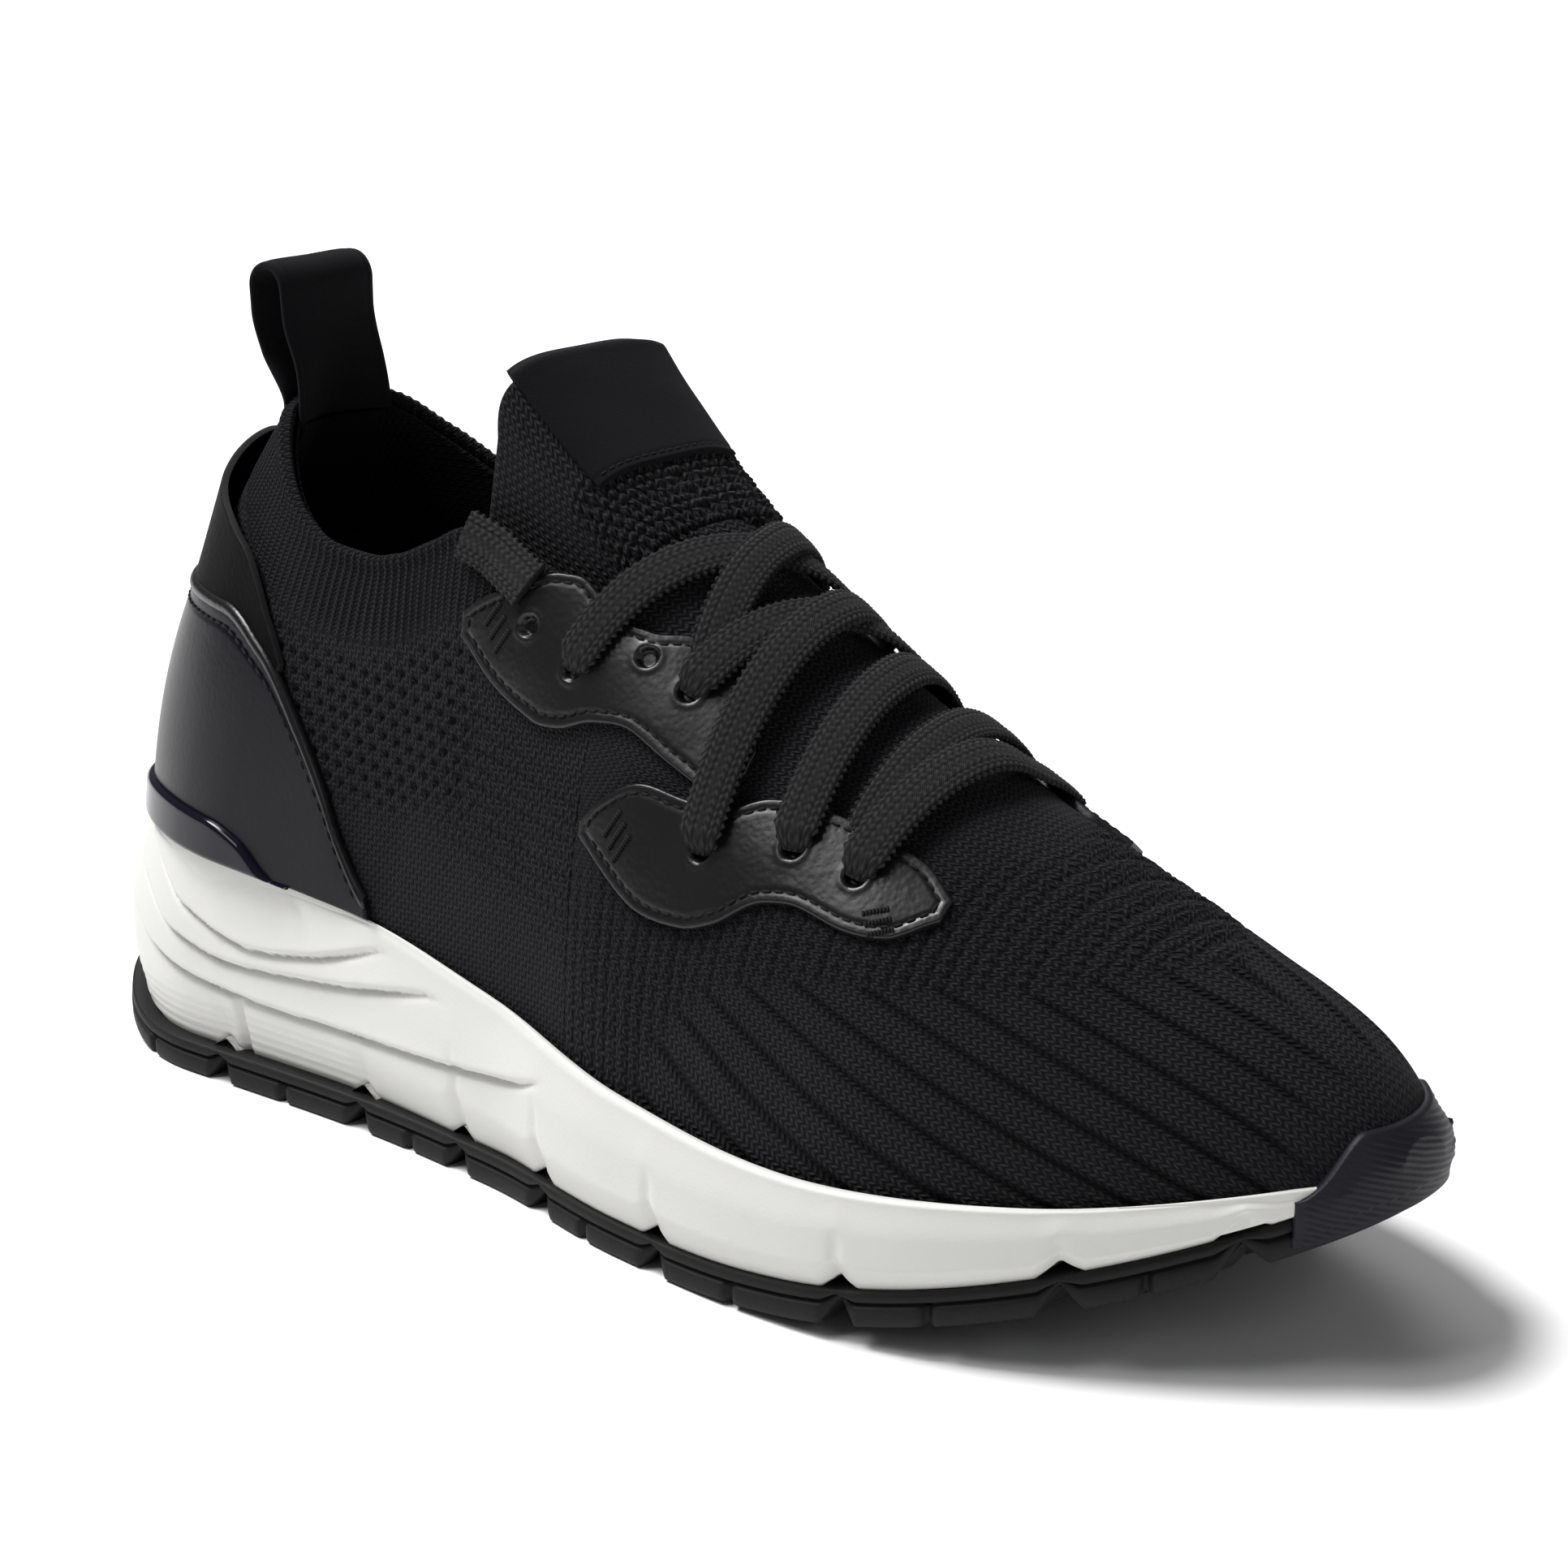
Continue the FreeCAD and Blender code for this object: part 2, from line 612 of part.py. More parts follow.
# Lace runs across the instep, from the front of the lacing to the top
LACE_LOW = LEATHER_THICK + 0.5
LACE_STEP = LACE_THICK + 0.35
LACE_RUNS = (
    (((59, 53), (62, 90), (62, 127)), (0, 2, 1)),
    (((50, 130), (55, 90), (57, 58)), (0, 1, 0)),
    (((47, 50), (42, 90), (34, 140)), (1, 0, 0)),
    (((31, 40), (28, 90), (22, 123)), (1, 2, 1)),
    (((19, 57), (27, 90), (34, 140)), (0, 0, 1)),
    (((0, 136), (13, 90), (18, 64)), (1, 1, 1)),
    (((-3, 44), (12, 90), (22, 123)), (0, 0, 0)),
)
save("shoelace", *[ribbon(path, [LACE_LOW + LACE_STEP * level for level in levels], LACE_WIDTH, LACE_THICK)
                   for path, levels in LACE_RUNS])

# Tongue: a flap over the instep that hinges where the top lace presses it down
TONGUE_FOOT = HINGE_X - 2.6
TONGUE_TOP = -29.0
TONGUE_HALF = 24.0
TONGUE_DROP = 13.0
CROWN_POWER = 0.6
PATCH_HALF = 19.5
PATCH_RANGE = (-28.0, -9.5)


def tongue_point(x, turn, depth):
    """Arch of the tongue at x, flat on top and rolled down at its sides, turn 0 to 180."""
    share = (x - TONGUE_TOP) / (TONGUE_FOOT - TONGUE_TOP)
    theta = math.radians(turn)
    side = -1 if turn < 90 else 1
    half = TONGUE_HALF - 3.5 * share - depth
    y = side * half * abs(math.cos(theta)) ** CROWN_POWER
    drop = (TONGUE_DROP - depth) * (1 - abs(math.sin(theta)) ** CROWN_POWER)
    top = smooth(RIDGE, x) + 0.4
    return V(x - 0.66 * depth, y, top - drop - 0.75 * depth)


def tongue_layer(outer, inner, x0, x1, turn=0.0):
    return slab(*[[[tongue_point(x, angle, depth) for angle in steps(turn, 180 - turn, 18)]
                   for x in steps(x0, x1, 8)] for depth in (outer, inner)])


patch_turn = math.degrees(math.acos((PATCH_HALF / TONGUE_HALF) ** (1 / CROWN_POWER)))
save("tongue_flap", tongue_layer(0, TONGUE_THICK, TONGUE_TOP, TONGUE_FOOT))
save("tongue_pad", tongue_layer(TONGUE_THICK + 0.05, TONGUE_THICK + PAD_THICK, TONGUE_TOP + 1.5,
                                TONGUE_FOOT - 4))
save("tongue_patch", tongue_layer(-PATCH_THICK, -0.05, PATCH_RANGE[0], PATCH_RANGE[1], patch_turn))

# Pull loop: a folded strap sewn to the heel of the collar
LOOP_FOOT_Z = 137.0
LOOP_TOP_Z = 160.0
LOOP_BACK_X = -109.0
LOOP_FRONT_X = -98.0
LOOP_ROUND = 5.4
LOOP_CLEARANCE = 3.2
TAIL_LENGTH = 2.6


def loop_outline(shrink):
    """Side view of the loop as a closed wire face, from its feet over the rounded top."""
    back = LOOP_BACK_X + shrink
    front = LOOP_FRONT_X - shrink
    radius = (front - back) / 2
    middle = (front + back) / 2
    shoulder = LOOP_TOP_Z - LOOP_ROUND
    y = -LOOP_WIDTH / 2
    low = LOOP_FOOT_Z - shrink
    arc = Part.Arc(V(back, y, shoulder), V(middle, y, shoulder + radius), V(front, y, shoulder)).toShape()
    edges = [Part.makeLine(V(back, y, low), V(back, y, shoulder)), arc,
             Part.makeLine(V(front, y, shoulder), V(front, y, low)),
             Part.makeLine(V(front, y, low), V(back, y, low))]
    return Part.Face(Part.Wire(edges)).extrude(V(0, LOOP_WIDTH, 0))


save("pull_loop", loop_outline(0).cut(loop_outline(LOOP_THICK)))
tail_top = LOOP_FOOT_Z - LOOP_CLEARANCE
save("pull_loop_tails", Part.makeBox(LOOP_THICK, LOOP_WIDTH, TAIL_LENGTH,
                                     V(LOOP_BACK_X + 0.4, -LOOP_WIDTH / 2, tail_top - TAIL_LENGTH)))
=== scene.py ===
import bmesh
import bpy
import numpy as np
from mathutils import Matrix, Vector


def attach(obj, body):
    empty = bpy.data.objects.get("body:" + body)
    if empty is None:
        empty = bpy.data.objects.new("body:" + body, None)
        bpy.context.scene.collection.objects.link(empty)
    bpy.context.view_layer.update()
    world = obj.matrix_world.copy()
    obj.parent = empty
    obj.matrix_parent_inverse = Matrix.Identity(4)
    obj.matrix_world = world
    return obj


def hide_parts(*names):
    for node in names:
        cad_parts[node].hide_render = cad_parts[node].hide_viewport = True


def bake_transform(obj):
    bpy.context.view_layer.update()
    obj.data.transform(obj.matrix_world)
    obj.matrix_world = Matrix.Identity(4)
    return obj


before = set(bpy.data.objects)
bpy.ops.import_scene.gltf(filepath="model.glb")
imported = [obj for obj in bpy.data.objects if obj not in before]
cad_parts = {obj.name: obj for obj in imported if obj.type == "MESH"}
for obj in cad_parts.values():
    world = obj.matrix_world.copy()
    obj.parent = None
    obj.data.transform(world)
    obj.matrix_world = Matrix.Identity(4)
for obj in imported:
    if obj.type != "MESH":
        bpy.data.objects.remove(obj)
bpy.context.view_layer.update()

# A low running shoe for the right foot. Shapes are worked out in millimetres, +X to the toe and
# -Y to the outer (lateral) side, and become metres when a mesh is made.
MM = 0.001
HEEL_END = -150.0
SOLE_TOE = 147.8
OUTSOLE_THICK = 6.5
TOE_SPRING, HEEL_BEVEL, HEEL_LEAN = 28.0, 7.0, 4.6
NOTCH_DEPTH = 4.6
NOTCH_HALF = 3.4
FLEX_NOTCHES = (-96, -57, -28, -3, 30, 72, 108, 132)
BOWL_DEPTH, BOWL_GAP, BOWL_FLOOR = 9.0, 0.9, 1.6
LIP_WIDTH = 4.0
UPPER_HEEL, UPPER_TOE = -141.0, 148.0
KNIT_THICK = 2.0
KNIT_TOE = UPPER_TOE - 1.2
LEATHER_THICK = 1.4
CLIP_THICK = 1.4
SOLE_LATERAL = ((-110, 41), (-60, 39.5), (-20, 42), (20, 49.5), (50, 51.8), (80, 50.5),
                (110, 47.5), (150, 41))
SOLE_MEDIAL = ((-110, 41), (-60, 37), (-20, 35), (20, 41), (60, 49), (90, 50), (120, 46.5), (150, 42))
RIM = ((-150, 48), (-110, 46.5), (-60, 43), (-20, 36.5), (20, 30), (60, 27), (100, 29), (150, 36))
RIDGE = ((-60, 182), (-45, 168), (-28, 148), (-10, 131.5), (20, 111.5), (56, 90), (90, 73), (115, 63),
         (132, 55.5), (142, 48), (147, 40))
FULLNESS = ((-45, 2.4), (-25, 2.7), (0, 2.4), (40, 2.0), (100, 2.0), (147, 2.2))
ARC_SHARE, THROAT_SHARE = 0.45, 0.8
ARC_BASE_X, ARC_COLLAR_X = -84, -66
REAR_SPAN = 160
HINGE_X = 3.0
BASE_RUN = ((0.45, ARC_BASE_X), (0.8, -33), (1, 3))
COLLAR_RUN = ((0.45, ARC_COLLAR_X), (0.8, -33), (1, 3))
COLLAR_HALF = ((0.45, 30), (0.7, 30.5), (0.8, 28), (1, 25.5))
COLLAR_BACK = -103.0
COLLAR_Z = ((-103, 134), (-97, 132.5), (-88, 125), (-77, 117), (-66, 113), (-57, 112.5), (-46, 114),
            (-38, 118), (-33, 121), (-27, 121), (-18, 118), (-8, 113.5), (3, 108.5))
HEEL_BULGE, SIDE_BULGE = 9.5, 3.0


def smooth(points, x):
    """Monotone cubic through (x, value) points, flat beyond the ends."""
    xs, ys = np.array(points, float).T
    step = np.diff(xs)
    slope = np.diff(ys) / step
    before, after = slope[:-1], slope[1:]
    same = before * after > 0
    weight_a = 2 * step[1:] + step[:-1]
    weight_b = step[1:] + 2 * step[:-1]
    blend = weight_a / np.where(same, before, 1) + weight_b / np.where(same, after, 1)
    middle = np.where(same, (weight_a + weight_b) / np.where(blend == 0, 1, blend), 0)
    tangent = np.concatenate([slope[:1], middle, slope[-1:]])
    x = np.clip(x, xs[0], xs[-1])
    i = np.clip(np.searchsorted(xs, x, "right") - 1, 0, len(step) - 1)
    t = (x - xs[i]) / step[i]
    start = (1 + 2 * t) * (1 - t) ** 2 * ys[i] + t * (1 - t) ** 2 * step[i] * tangent[i]
    return start + t * t * (3 - 2 * t) * ys[i + 1] + t * t * (t - 1) * step[i] * tangent[i + 1]


def ease(t):
    """Smooth step from 0 to 1."""
    t = np.clip(t, 0, 1)
    return t * t * (3 - 2 * t)


def bump_at(distance, width):
    """Soft bump of height 1 around distance 0."""
    return np.exp(-(distance / width) ** 2)


def cap(x, start, end, power):
    """Rounds a width down to nothing between start and end."""
    t = np.clip((x - start) / (end - start), 0, 1)
    return np.sqrt(1 - t ** power)


def axis_y(x):
    return 7.5 * ease((x - 60) / 100)


def ground(x):
    """Underside of the tread: flat in the middle, raised at the toe and bevelled at the heel."""
    toe = TOE_SPRING * np.maximum(0, (x - 29) / 121) ** 2.1
    return toe + HEEL_BEVEL * np.maximum(0, (-118 - x) / 32) ** 1.6


def midsole_bottom(x):
    return ground(x) + OUTSOLE_THICK


def rim(x):
    return smooth(RIM, x)


def base_z(x):
    """Floor of the midsole's bowl, where the upper stands; it rises over the tread at the toe."""
    bowl = rim(x) - BOWL_DEPTH
    over_tread = midsole_bottom(x) + BOWL_FLOOR
    return (bowl + over_tread + np.sqrt((bowl - over_tread) ** 2 + 1)) / 2


def sole_half(x, side):
    lateral = smooth(SOLE_LATERAL, x) * cap(x, 62, SOLE_TOE, 1.9)
    medial = smooth(SOLE_MEDIAL, x) * cap(x, 80, SOLE_TOE, 2.4)
    return np.where(side < 0, lateral, medial) * cap(x, -104, HEEL_END, 2.0)


def upper_half(x, side):
    lateral = (smooth(SOLE_LATERAL, x) - LIP_WIDTH) * cap(x, 60, UPPER_TOE, 2.0)
    medial = (smooth(SOLE_MEDIAL, x) - LIP_WIDTH) * cap(x, 74, UPPER_TOE, 2.0)
    return np.where(side < 0, lateral, medial) * cap(x, -96, UPPER_HEEL, 2.0)


def arch_point(x, angle):
    """Front of the upper: x along the shoe, angle 0 (lateral) over 90 (top) to 180 (medial)."""
    x, angle = np.broadcast_arrays(np.asarray(x, float), np.asarray(angle, float))
    theta = np.radians(angle)
    side = np.where(np.cos(theta) > 0, -1, 1)
    half = np.maximum(0.5, upper_half(x, side))
    low = base_z(x)
    top = np.maximum(low + 1, smooth(RIDGE, x))
    power = 2 / smooth(FULLNESS, x)
    y = axis_y(x) + side * half * np.abs(np.cos(theta)) ** power
    z = low + (top - low) * np.abs(np.sin(theta)) ** power
    return np.stack([x, y, z], -1)


def rear_point(u, v):
    """Rear of the upper: u -1 (lateral front) over 0 (heel) to 1 (medial front), v 0 base to 1 collar."""
    u, v = np.broadcast_arrays(np.asarray(u, float), np.asarray(v, float))
    side = np.where(u < 0, -1, 1)
    share = np.abs(u)
    turn = np.radians(90 * np.minimum(1, share / ARC_SHARE))
    arc = share < ARC_SHARE
    arc_base = ARC_BASE_X - (ARC_BASE_X - UPPER_HEEL) * np.cos(turn)
    arc_collar = ARC_COLLAR_X - (ARC_COLLAR_X - COLLAR_BACK) * np.cos(turn)
    base_x = np.where(arc, arc_base, smooth(BASE_RUN, share))
    collar_x = np.where(arc, arc_collar, smooth(COLLAR_RUN, share))
    collar_y = np.where(arc, 30 * np.sin(turn) ** 1.4, smooth(COLLAR_HALF, share))
    collar_z = smooth(COLLAR_Z, collar_x)
    base = np.stack([base_x, side * upper_half(base_x, side), base_z(base_x)], -1)
    collar = np.stack([collar_x, side * collar_y, collar_z], -1)
    bulge = SIDE_BULGE + (HEEL_BULGE - SIDE_BULGE) * ease(1 - share / ARC_SHARE)
    out = np.stack([-np.cos(turn), side * np.sin(turn), 0 * turn], -1)
    swell = bulge * np.sin(np.pi * np.clip(v, 0, 1))
    wall = base + (collar - base) * v[..., None] + out * swell[..., None]
    front = ease((share - 0.55) / (THROAT_SHARE - 0.55))[..., None]
    low = base_z(base_x)
    top = np.maximum(low + 1, smooth(RIDGE, base_x))
    power = 2 / smooth(FULLNESS, base_x)
    rise = np.clip((collar_z - low) / (top - low), 0, 1) ** (1 / power)
    angle = np.degrees(np.arcsin(rise)) * v
    arch = arch_point(base_x, np.where(side < 0, angle, 180 - angle))
    return wall * (1 - front) + arch * front


def unit(vectors):
    return vectors / np.maximum(np.linalg.norm(vectors, axis=-1, keepdims=True), 1e-9)


def normals(point, a, b, da, db):
    """Outward unit normals of point(a, b)."""
    along = point(a + da, b) - point(a - da, b)
    across = point(a, b + db) - point(a, b - db)
    out = unit(np.cross(along, across))
    here = point(a, b)
    x = np.clip(here[..., 0], -95, 120)
    middle = np.stack([x, axis_y(x), np.minimum(here[..., 2], base_z(x) + 30)], -1)
    return out * np.where((out * (here - middle)).sum(-1, keepdims=True) < 0, -1, 1)


def arch_normal(x, angle):
    return normals(arch_point, np.minimum(x, 147.2), angle, 0.5, 1.0)


def rear_normal(u, v):
    return normals(rear_point, np.clip(u, -0.995, 0.995), np.clip(v, 0.01, 0.985), 0.004, 0.01)


def rear_v(u, height):
    """Share v at which the rear wall reaches a height, for rows of u and height."""
    levels = np.linspace(0, 1, 240)
    z = rear_point(np.asarray(u)[:, None], levels[None, :])[..., 2]
    return np.array([np.interp(h, row, levels) for h, row in zip(height, z)])


# Meshes -------------------------------------------------------------------------------------------
def make_mesh(name, points, faces, cloth=None, weld=False):
    """Mesh object from points in mm and rows of four corners. cloth holds (along, across, mark) in mm."""
    points = points.reshape(-1, 3)
    a, b, c, d = (points[faces[:, k]] for k in range(4))
    volume = (np.cross(a, b) * c).sum() + (np.cross(a, c) * d).sum()
    if volume < 0:
        faces = faces[:, ::-1]
    mesh = bpy.data.meshes.new(name)
    mesh.vertices.add(len(points))
    mesh.vertices.foreach_set("co", (points * MM).astype(np.float32).ravel())
    mesh.loops.add(faces.size)
    mesh.loops.foreach_set("vertex_index", np.ascontiguousarray(faces).astype(np.int32).ravel())
    mesh.polygons.add(len(faces))
    mesh.polygons.foreach_set("loop_start", np.arange(0, faces.size, 4, dtype=np.int32))
    mesh.polygons.foreach_set("use_smooth", np.ones(len(faces), bool))
    if cloth is not None:
        layer = mesh.attributes.new("cloth", "FLOAT_VECTOR", "POINT")
        layer.data.foreach_set("vector", cloth.astype(np.float32).ravel())
    mesh.update(calc_edges=True)
    mesh.validate()
    if weld:
        work = bmesh.new()
        work.from_mesh(mesh)
        bmesh.ops.remove_doubles(work, verts=work.verts, dist=0.00002)
        bmesh.ops.recalc_face_normals(work, faces=work.faces)
        work.to_mesh(mesh)
        work.free()
    piece = bpy.data.objects.new(name, mesh)
    bpy.context.scene.collection.objects.link(piece)
    return piece


def quads(a, b, c, d):
    return np.stack([a, b, c, d], -1).reshape(-1, 4)


def shell(name, outer, inner, cloth=None):
    """Closed layer between two matching grids of points."""
    count = outer.shape[0] * outer.shape[1]
    o = np.arange(count).reshape(outer.shape[:2])
    i = o + count
    faces = np.concatenate([
        quads(o[:-1, :-1], o[1:, :-1], o[1:, 1:], o[:-1, 1:]),
        quads(i[:-1, :-1], i[:-1, 1:], i[1:, 1:], i[1:, :-1]),
        quads(o[0, :-1], o[0, 1:], i[0, 1:], i[0, :-1]),
        quads(o[-1, 1:], o[-1, :-1], i[-1, :-1], i[-1, 1:]),
        quads(o[1:, 0], o[:-1, 0], i[:-1, 0], i[1:, 0]),
        quads(o[:-1, -1], o[1:, -1], i[1:, -1], i[:-1, -1])])
    points = np.concatenate([outer.reshape(-1, 3), inner.reshape(-1, 3)])
    if cloth is not None:
        cloth = np.concatenate([cloth.reshape(-1, 3), cloth.reshape(-1, 3)])
    return make_mesh(name, points, faces, cloth)


def loops(name, rings, cloth=None, weld=True):
    """Closed surface through rings of points; the first and last rings are flattened onto a line."""
    index = np.arange(rings.shape[0] * rings.shape[1]).reshape(rings.shape[:2])
    after = np.roll(index, -1, 1)
    faces = quads(index[:-1], index[1:], after[1:], after[:-1])
    return make_mesh(name, rings, faces, cloth, weld)


def arc_length(points, axis):
    """Distance along one axis of a grid, from its first row."""
    gaps = np.linalg.norm(np.diff(points, axis=axis), axis=-1)
    total = np.cumsum(gaps, axis=axis)
    return np.concatenate([np.zeros_like(np.take(total, [0], axis)), total], axis)


def along_path(places, gone, rows):
    """Rows read off at places along a path, where gone is the length up to each row."""
    return np.stack([np.interp(places, gone, rows[:, k]) for k in range(3)], -1)


def squared_off(values, power):
    """Sine or cosine pulled towards -1 and 1, which makes a ring boxy."""
    return np.sign(values) * np.abs(values) ** power


def closed_ends(rings):
    """Rings with one more at each end, shrunk to its middle."""
    first = rings[:1].mean(1, keepdims=True) + 0 * rings[:1]
    last = rings[-1:].mean(1, keepdims=True) + 0 * rings[-1:]
    return np.concatenate([first, rings, last])


def edged(length, pitch, near=(0, 0.07, 0.18, 0.35, 0.6, 0.9, 1.3, 1.8)):
    """Places from 0 to 1 along a length in mm, close together near both ends."""
    near = np.array(near) * min(1, length / 4.5)
    count = max(3, int((length - 2 * near[-1]) / pitch))
    middle = np.linspace(near[-1], length - near[-1], count)[1:-1]
    return np.concatenate([near, middle, length - near[::-1]]) / length


def ripple(a, b, scale, seed=0):
    """Smooth irregular field between about -1 and 1."""
    total = np.zeros(np.broadcast(a, b).shape)
    for k in range(4):
        turn = 1.7 * k + seed
        total = total + np.sin((a * np.cos(turn) + b * np.sin(turn)) * (1 + 0.37 * k) / scale + 2.3 * turn)
    return total / 3


# Materials ----------------------------------------------------------------------------------------
class Shader:
    """Small helper that wires a procedural material."""

    def __init__(self, name):
        self.material = bpy.data.materials.new(name)
        self.material.use_nodes = True
        self.tree = self.material.node_tree
        self.surface = self.tree.nodes["Principled BSDF"]

    def node(self, kind, inputs=(), **settings):
        made = self.tree.nodes.new("ShaderNode" + kind)
        for key, value in settings.items():
            setattr(made, key, value)
        for key, value in dict(inputs).items():
            self.feed(made.inputs[key], value)
        return made

    def feed(self, socket, value):
        if isinstance(value, bpy.types.NodeSocket):
            self.tree.links.new(value, socket)
        else:
            socket.default_value = value

    def math(self, operation, a, b=0.0, c=0.0):
        made = self.node("Math", operation=operation)
        for socket, value in zip(made.inputs, (a, b, c)):
            self.feed(socket, value)
        return made.outputs[0]

    def cloth(self):
        """Along, across and mark, in mm, from the mesh."""
        read = self.node("Attribute", attribute_name="cloth")
        split = self.node("SeparateXYZ", {"Vector": read.outputs["Vector"]})
        return split.outputs

    def noise(self, scale, detail=3.0, rough=0.6, vector=None):
        inputs = {"Scale": scale, "Detail": detail, "Roughness": rough}
        inputs["Vector"] = vector or self.node("TexCoord").outputs["Object"]
        return self.node("TexNoise", inputs).outputs["Fac"]

    def between(self, amount, low, high):
        return self.node("Mix", {"Factor": amount, "A": low, "B": high}, data_type="FLOAT").outputs[0]

    def colour(self, amount, low, high):
        mix = self.node("Mix", data_type="RGBA")
        self.feed(mix.inputs[0], amount)
        self.feed(mix.inputs[6], (*low, 1) if isinstance(low, tuple) else low)
        self.feed(mix.inputs[7], (*high, 1) if isinstance(high, tuple) else high)
        return mix.outputs[2]

    def finish(self, colour, rough, height=None, distance=0.0002, strength=1.0, **constants):
        self.feed(self.surface.inputs["Base Color"], (*colour, 1) if isinstance(colour, tuple) else colour)
        self.feed(self.surface.inputs["Roughness"], rough)
        for key, value in constants.items():
            self.surface.inputs[key.replace("_", " ")].default_value = value
        if height is not None:
            made = self.node("Bump", {"Height": height, "Distance": distance, "Strength": strength})
            self.tree.links.new(made.outputs[0], self.surface.inputs["Normal"])
        return self.material


def wave(shader, value, period, phase=0.0):
    """0 to 1 sine of a length in mm."""
    angle = shader.math("MULTIPLY_ADD", value, 6.28318 / period, phase)
    return shader.math("MULTIPLY_ADD", shader.math("SINE", angle), 0.5, 0.5)


def knit_material(name, wale, course, dark, light, depth=0.0005):
    """Rows of V stitches, wale mm apart across and course mm apart along; mark paints near-black shade into
    the gaps.
    """
    s = Shader(name)
    along, across, mark = s.cloth()
    column = s.math("PINGPONG", across, wale / 2)
    lean = s.math("MULTIPLY_ADD", column, 1.3, along)
    stitch = wave(s, lean, course)
    ridge = s.math("SINE", s.math("MULTIPLY", column, 6.28318 / wale))
    pattern = s.math("MULTIPLY", stitch, s.math("POWER", s.math("ABSOLUTE", ridge), 0.6))
    uneven = s.noise(620, 3, 0.7)
    pattern = s.math("MULTIPLY", pattern, s.math("MULTIPLY_ADD", uneven, 1.5, 0.25))
    fuzz = s.noise(5200, 2)
    height = s.math("MULTIPLY_ADD", fuzz, 0.25, pattern)
    patchy = s.noise(60, 4)
    # Painted shade and highlight: the raised yarn of the stitch pattern is lighter than the spaces between
    # stitches; patchy adds uneven tone.
    tint = s.math("MULTIPLY_ADD", patchy, 0.25, s.math("MULTIPLY", pattern, 0.9))
    # Painted shade: where mark is set the colour goes near-black, as in the gaps, holes and rib troughs.
    shaded = s.colour(mark, s.colour(tint, dark, light), (0.0006, 0.0006, 0.0008))
    return s.finish(shaded, s.between(pattern, 0.95, 0.72), height, depth,
                    Specular_IOR_Level=0.14, Sheen_Weight=0.035, Sheen_Roughness=0.5,
                    Sheen_Tint=(0.35, 0.36, 0.42, 1))


def leather_material(name, dark, light, edge, rough, specular, coat=0.0, grain=1.0):
    """Fine pebbled grain with stretched creases; a cut edge shows where mark is set, and painted near-black
    shade fills the punched holes where mark is negative.
    """
    s = Shader(name)
    mark = s.cloth()[2]
    place = s.node("TexCoord").outputs["Object"]
    pebble = s.node("TexVoronoi", {"Vector": place, "Scale": 950.0, "Randomness": 1.0}, feature="SMOOTH_F1")
    crease = s.noise(420, 5, 0.65)
    cloudy = s.noise(34, 3, 0.5)
    creased = s.math("MULTIPLY", crease, 0.45 * grain)
    height = s.math("MULTIPLY_ADD", pebble.outputs["Distance"], 0.6 * grain, creased)
    tint = s.colour(s.math("MULTIPLY_ADD", cloudy, 0.8, s.math("MULTIPLY", crease, 0.25)), dark, light)
    tint = s.colour(mark, tint, edge)
    # Painted shade: near-black where mark is negative, inside the punched holes.
    tint = s.colour(s.math("MULTIPLY", mark, -1.0), tint, (0.0004, 0.0004, 0.0004))
    return s.finish(tint, s.between(cloudy, rough - 0.06, rough + 0.08), height, 0.00008,
                    Specular_IOR_Level=specular, Coat_Weight=coat, Coat_Roughness=0.25)


def suede_material(name, dark, light):
    s = Shader(name)
    nap = s.noise(2600, 3, 0.75)
    brushed = s.noise(150, 5, 0.7)
    tint = s.colour(s.math("MULTIPLY_ADD", nap, 0.55, s.math("MULTIPLY", brushed, 0.6)), dark, light)
    return s.finish(tint, s.between(brushed, 0.82, 0.98), nap, 0.0002, Specular_IOR_Level=0.12,
                    Sheen_Weight=0.05, Sheen_Roughness=0.45, Sheen_Tint=(0.4, 0.4, 0.46, 1))


def braid_material(name, dark, light):
    """Polyester yarn; its braid is in the mesh, and mark is the height of the strands, which paints shade:
    lighter strand tops, darker hollows between them.
    """
    s = Shader(name)
    along, across, mark = s.cloth()
    fibre = s.noise(3800, 3, 0.7)
    strand = wave(s, s.math("MULTIPLY_ADD", along, 1.0, across), 0.32)
    # Painted shade: colour follows strand height, lighter on the raised strands and darker in the hollows
    # between them.
    raised = s.math("MULTIPLY", s.math("POWER", mark, 2.0), 0.8)
    tint = s.colour(s.math("MULTIPLY_ADD", fibre, 0.3, raised), dark, light)
    height = s.math("MULTIPLY_ADD", strand, 0.6, fibre)
    return s.finish(tint, s.between(mark, 0.85, 0.55), height, 0.0001, Specular_IOR_Level=0.16,
                    Sheen_Weight=0.03, Sheen_Tint=(0.4, 0.4, 0.42, 1))


def foam_material(name):
    s = Shader(name)
    cloudy = s.noise(22, 4)
    pores = s.noise(1500, 2)
    scuff = s.node("ValToRGB", {"Fac": s.noise(90, 6, 0.7)})
    scuff.color_ramp.elements[0].position = 0.62
    scuff.color_ramp.elements[1].position = 0.78
    tint = s.colour(cloudy, (0.69, 0.687, 0.66), (0.64, 0.637, 0.612))
    tint = s.colour(s.math("MULTIPLY", scuff.outputs[0], 0.12), tint, (0.5, 0.49, 0.46))
    return s.finish(tint, s.between(cloudy, 0.42, 0.55), pores, 0.00005, Specular_IOR_Level=0.4)


def rubber_material(name, dark, light, rough=0.6):
    s = Shader(name)
    cloudy = s.noise(45, 4)
    grit = s.noise(1900, 3, 0.7)
    tint = s.colour(s.math("MULTIPLY_ADD", cloudy, 0.7, s.math("MULTIPLY", grit, 0.3)), dark, light)
    return s.finish(tint, s.between(cloudy, rough - 0.08, rough + 0.1), grit, 0.00009,
                    Specular_IOR_Level=0.22)


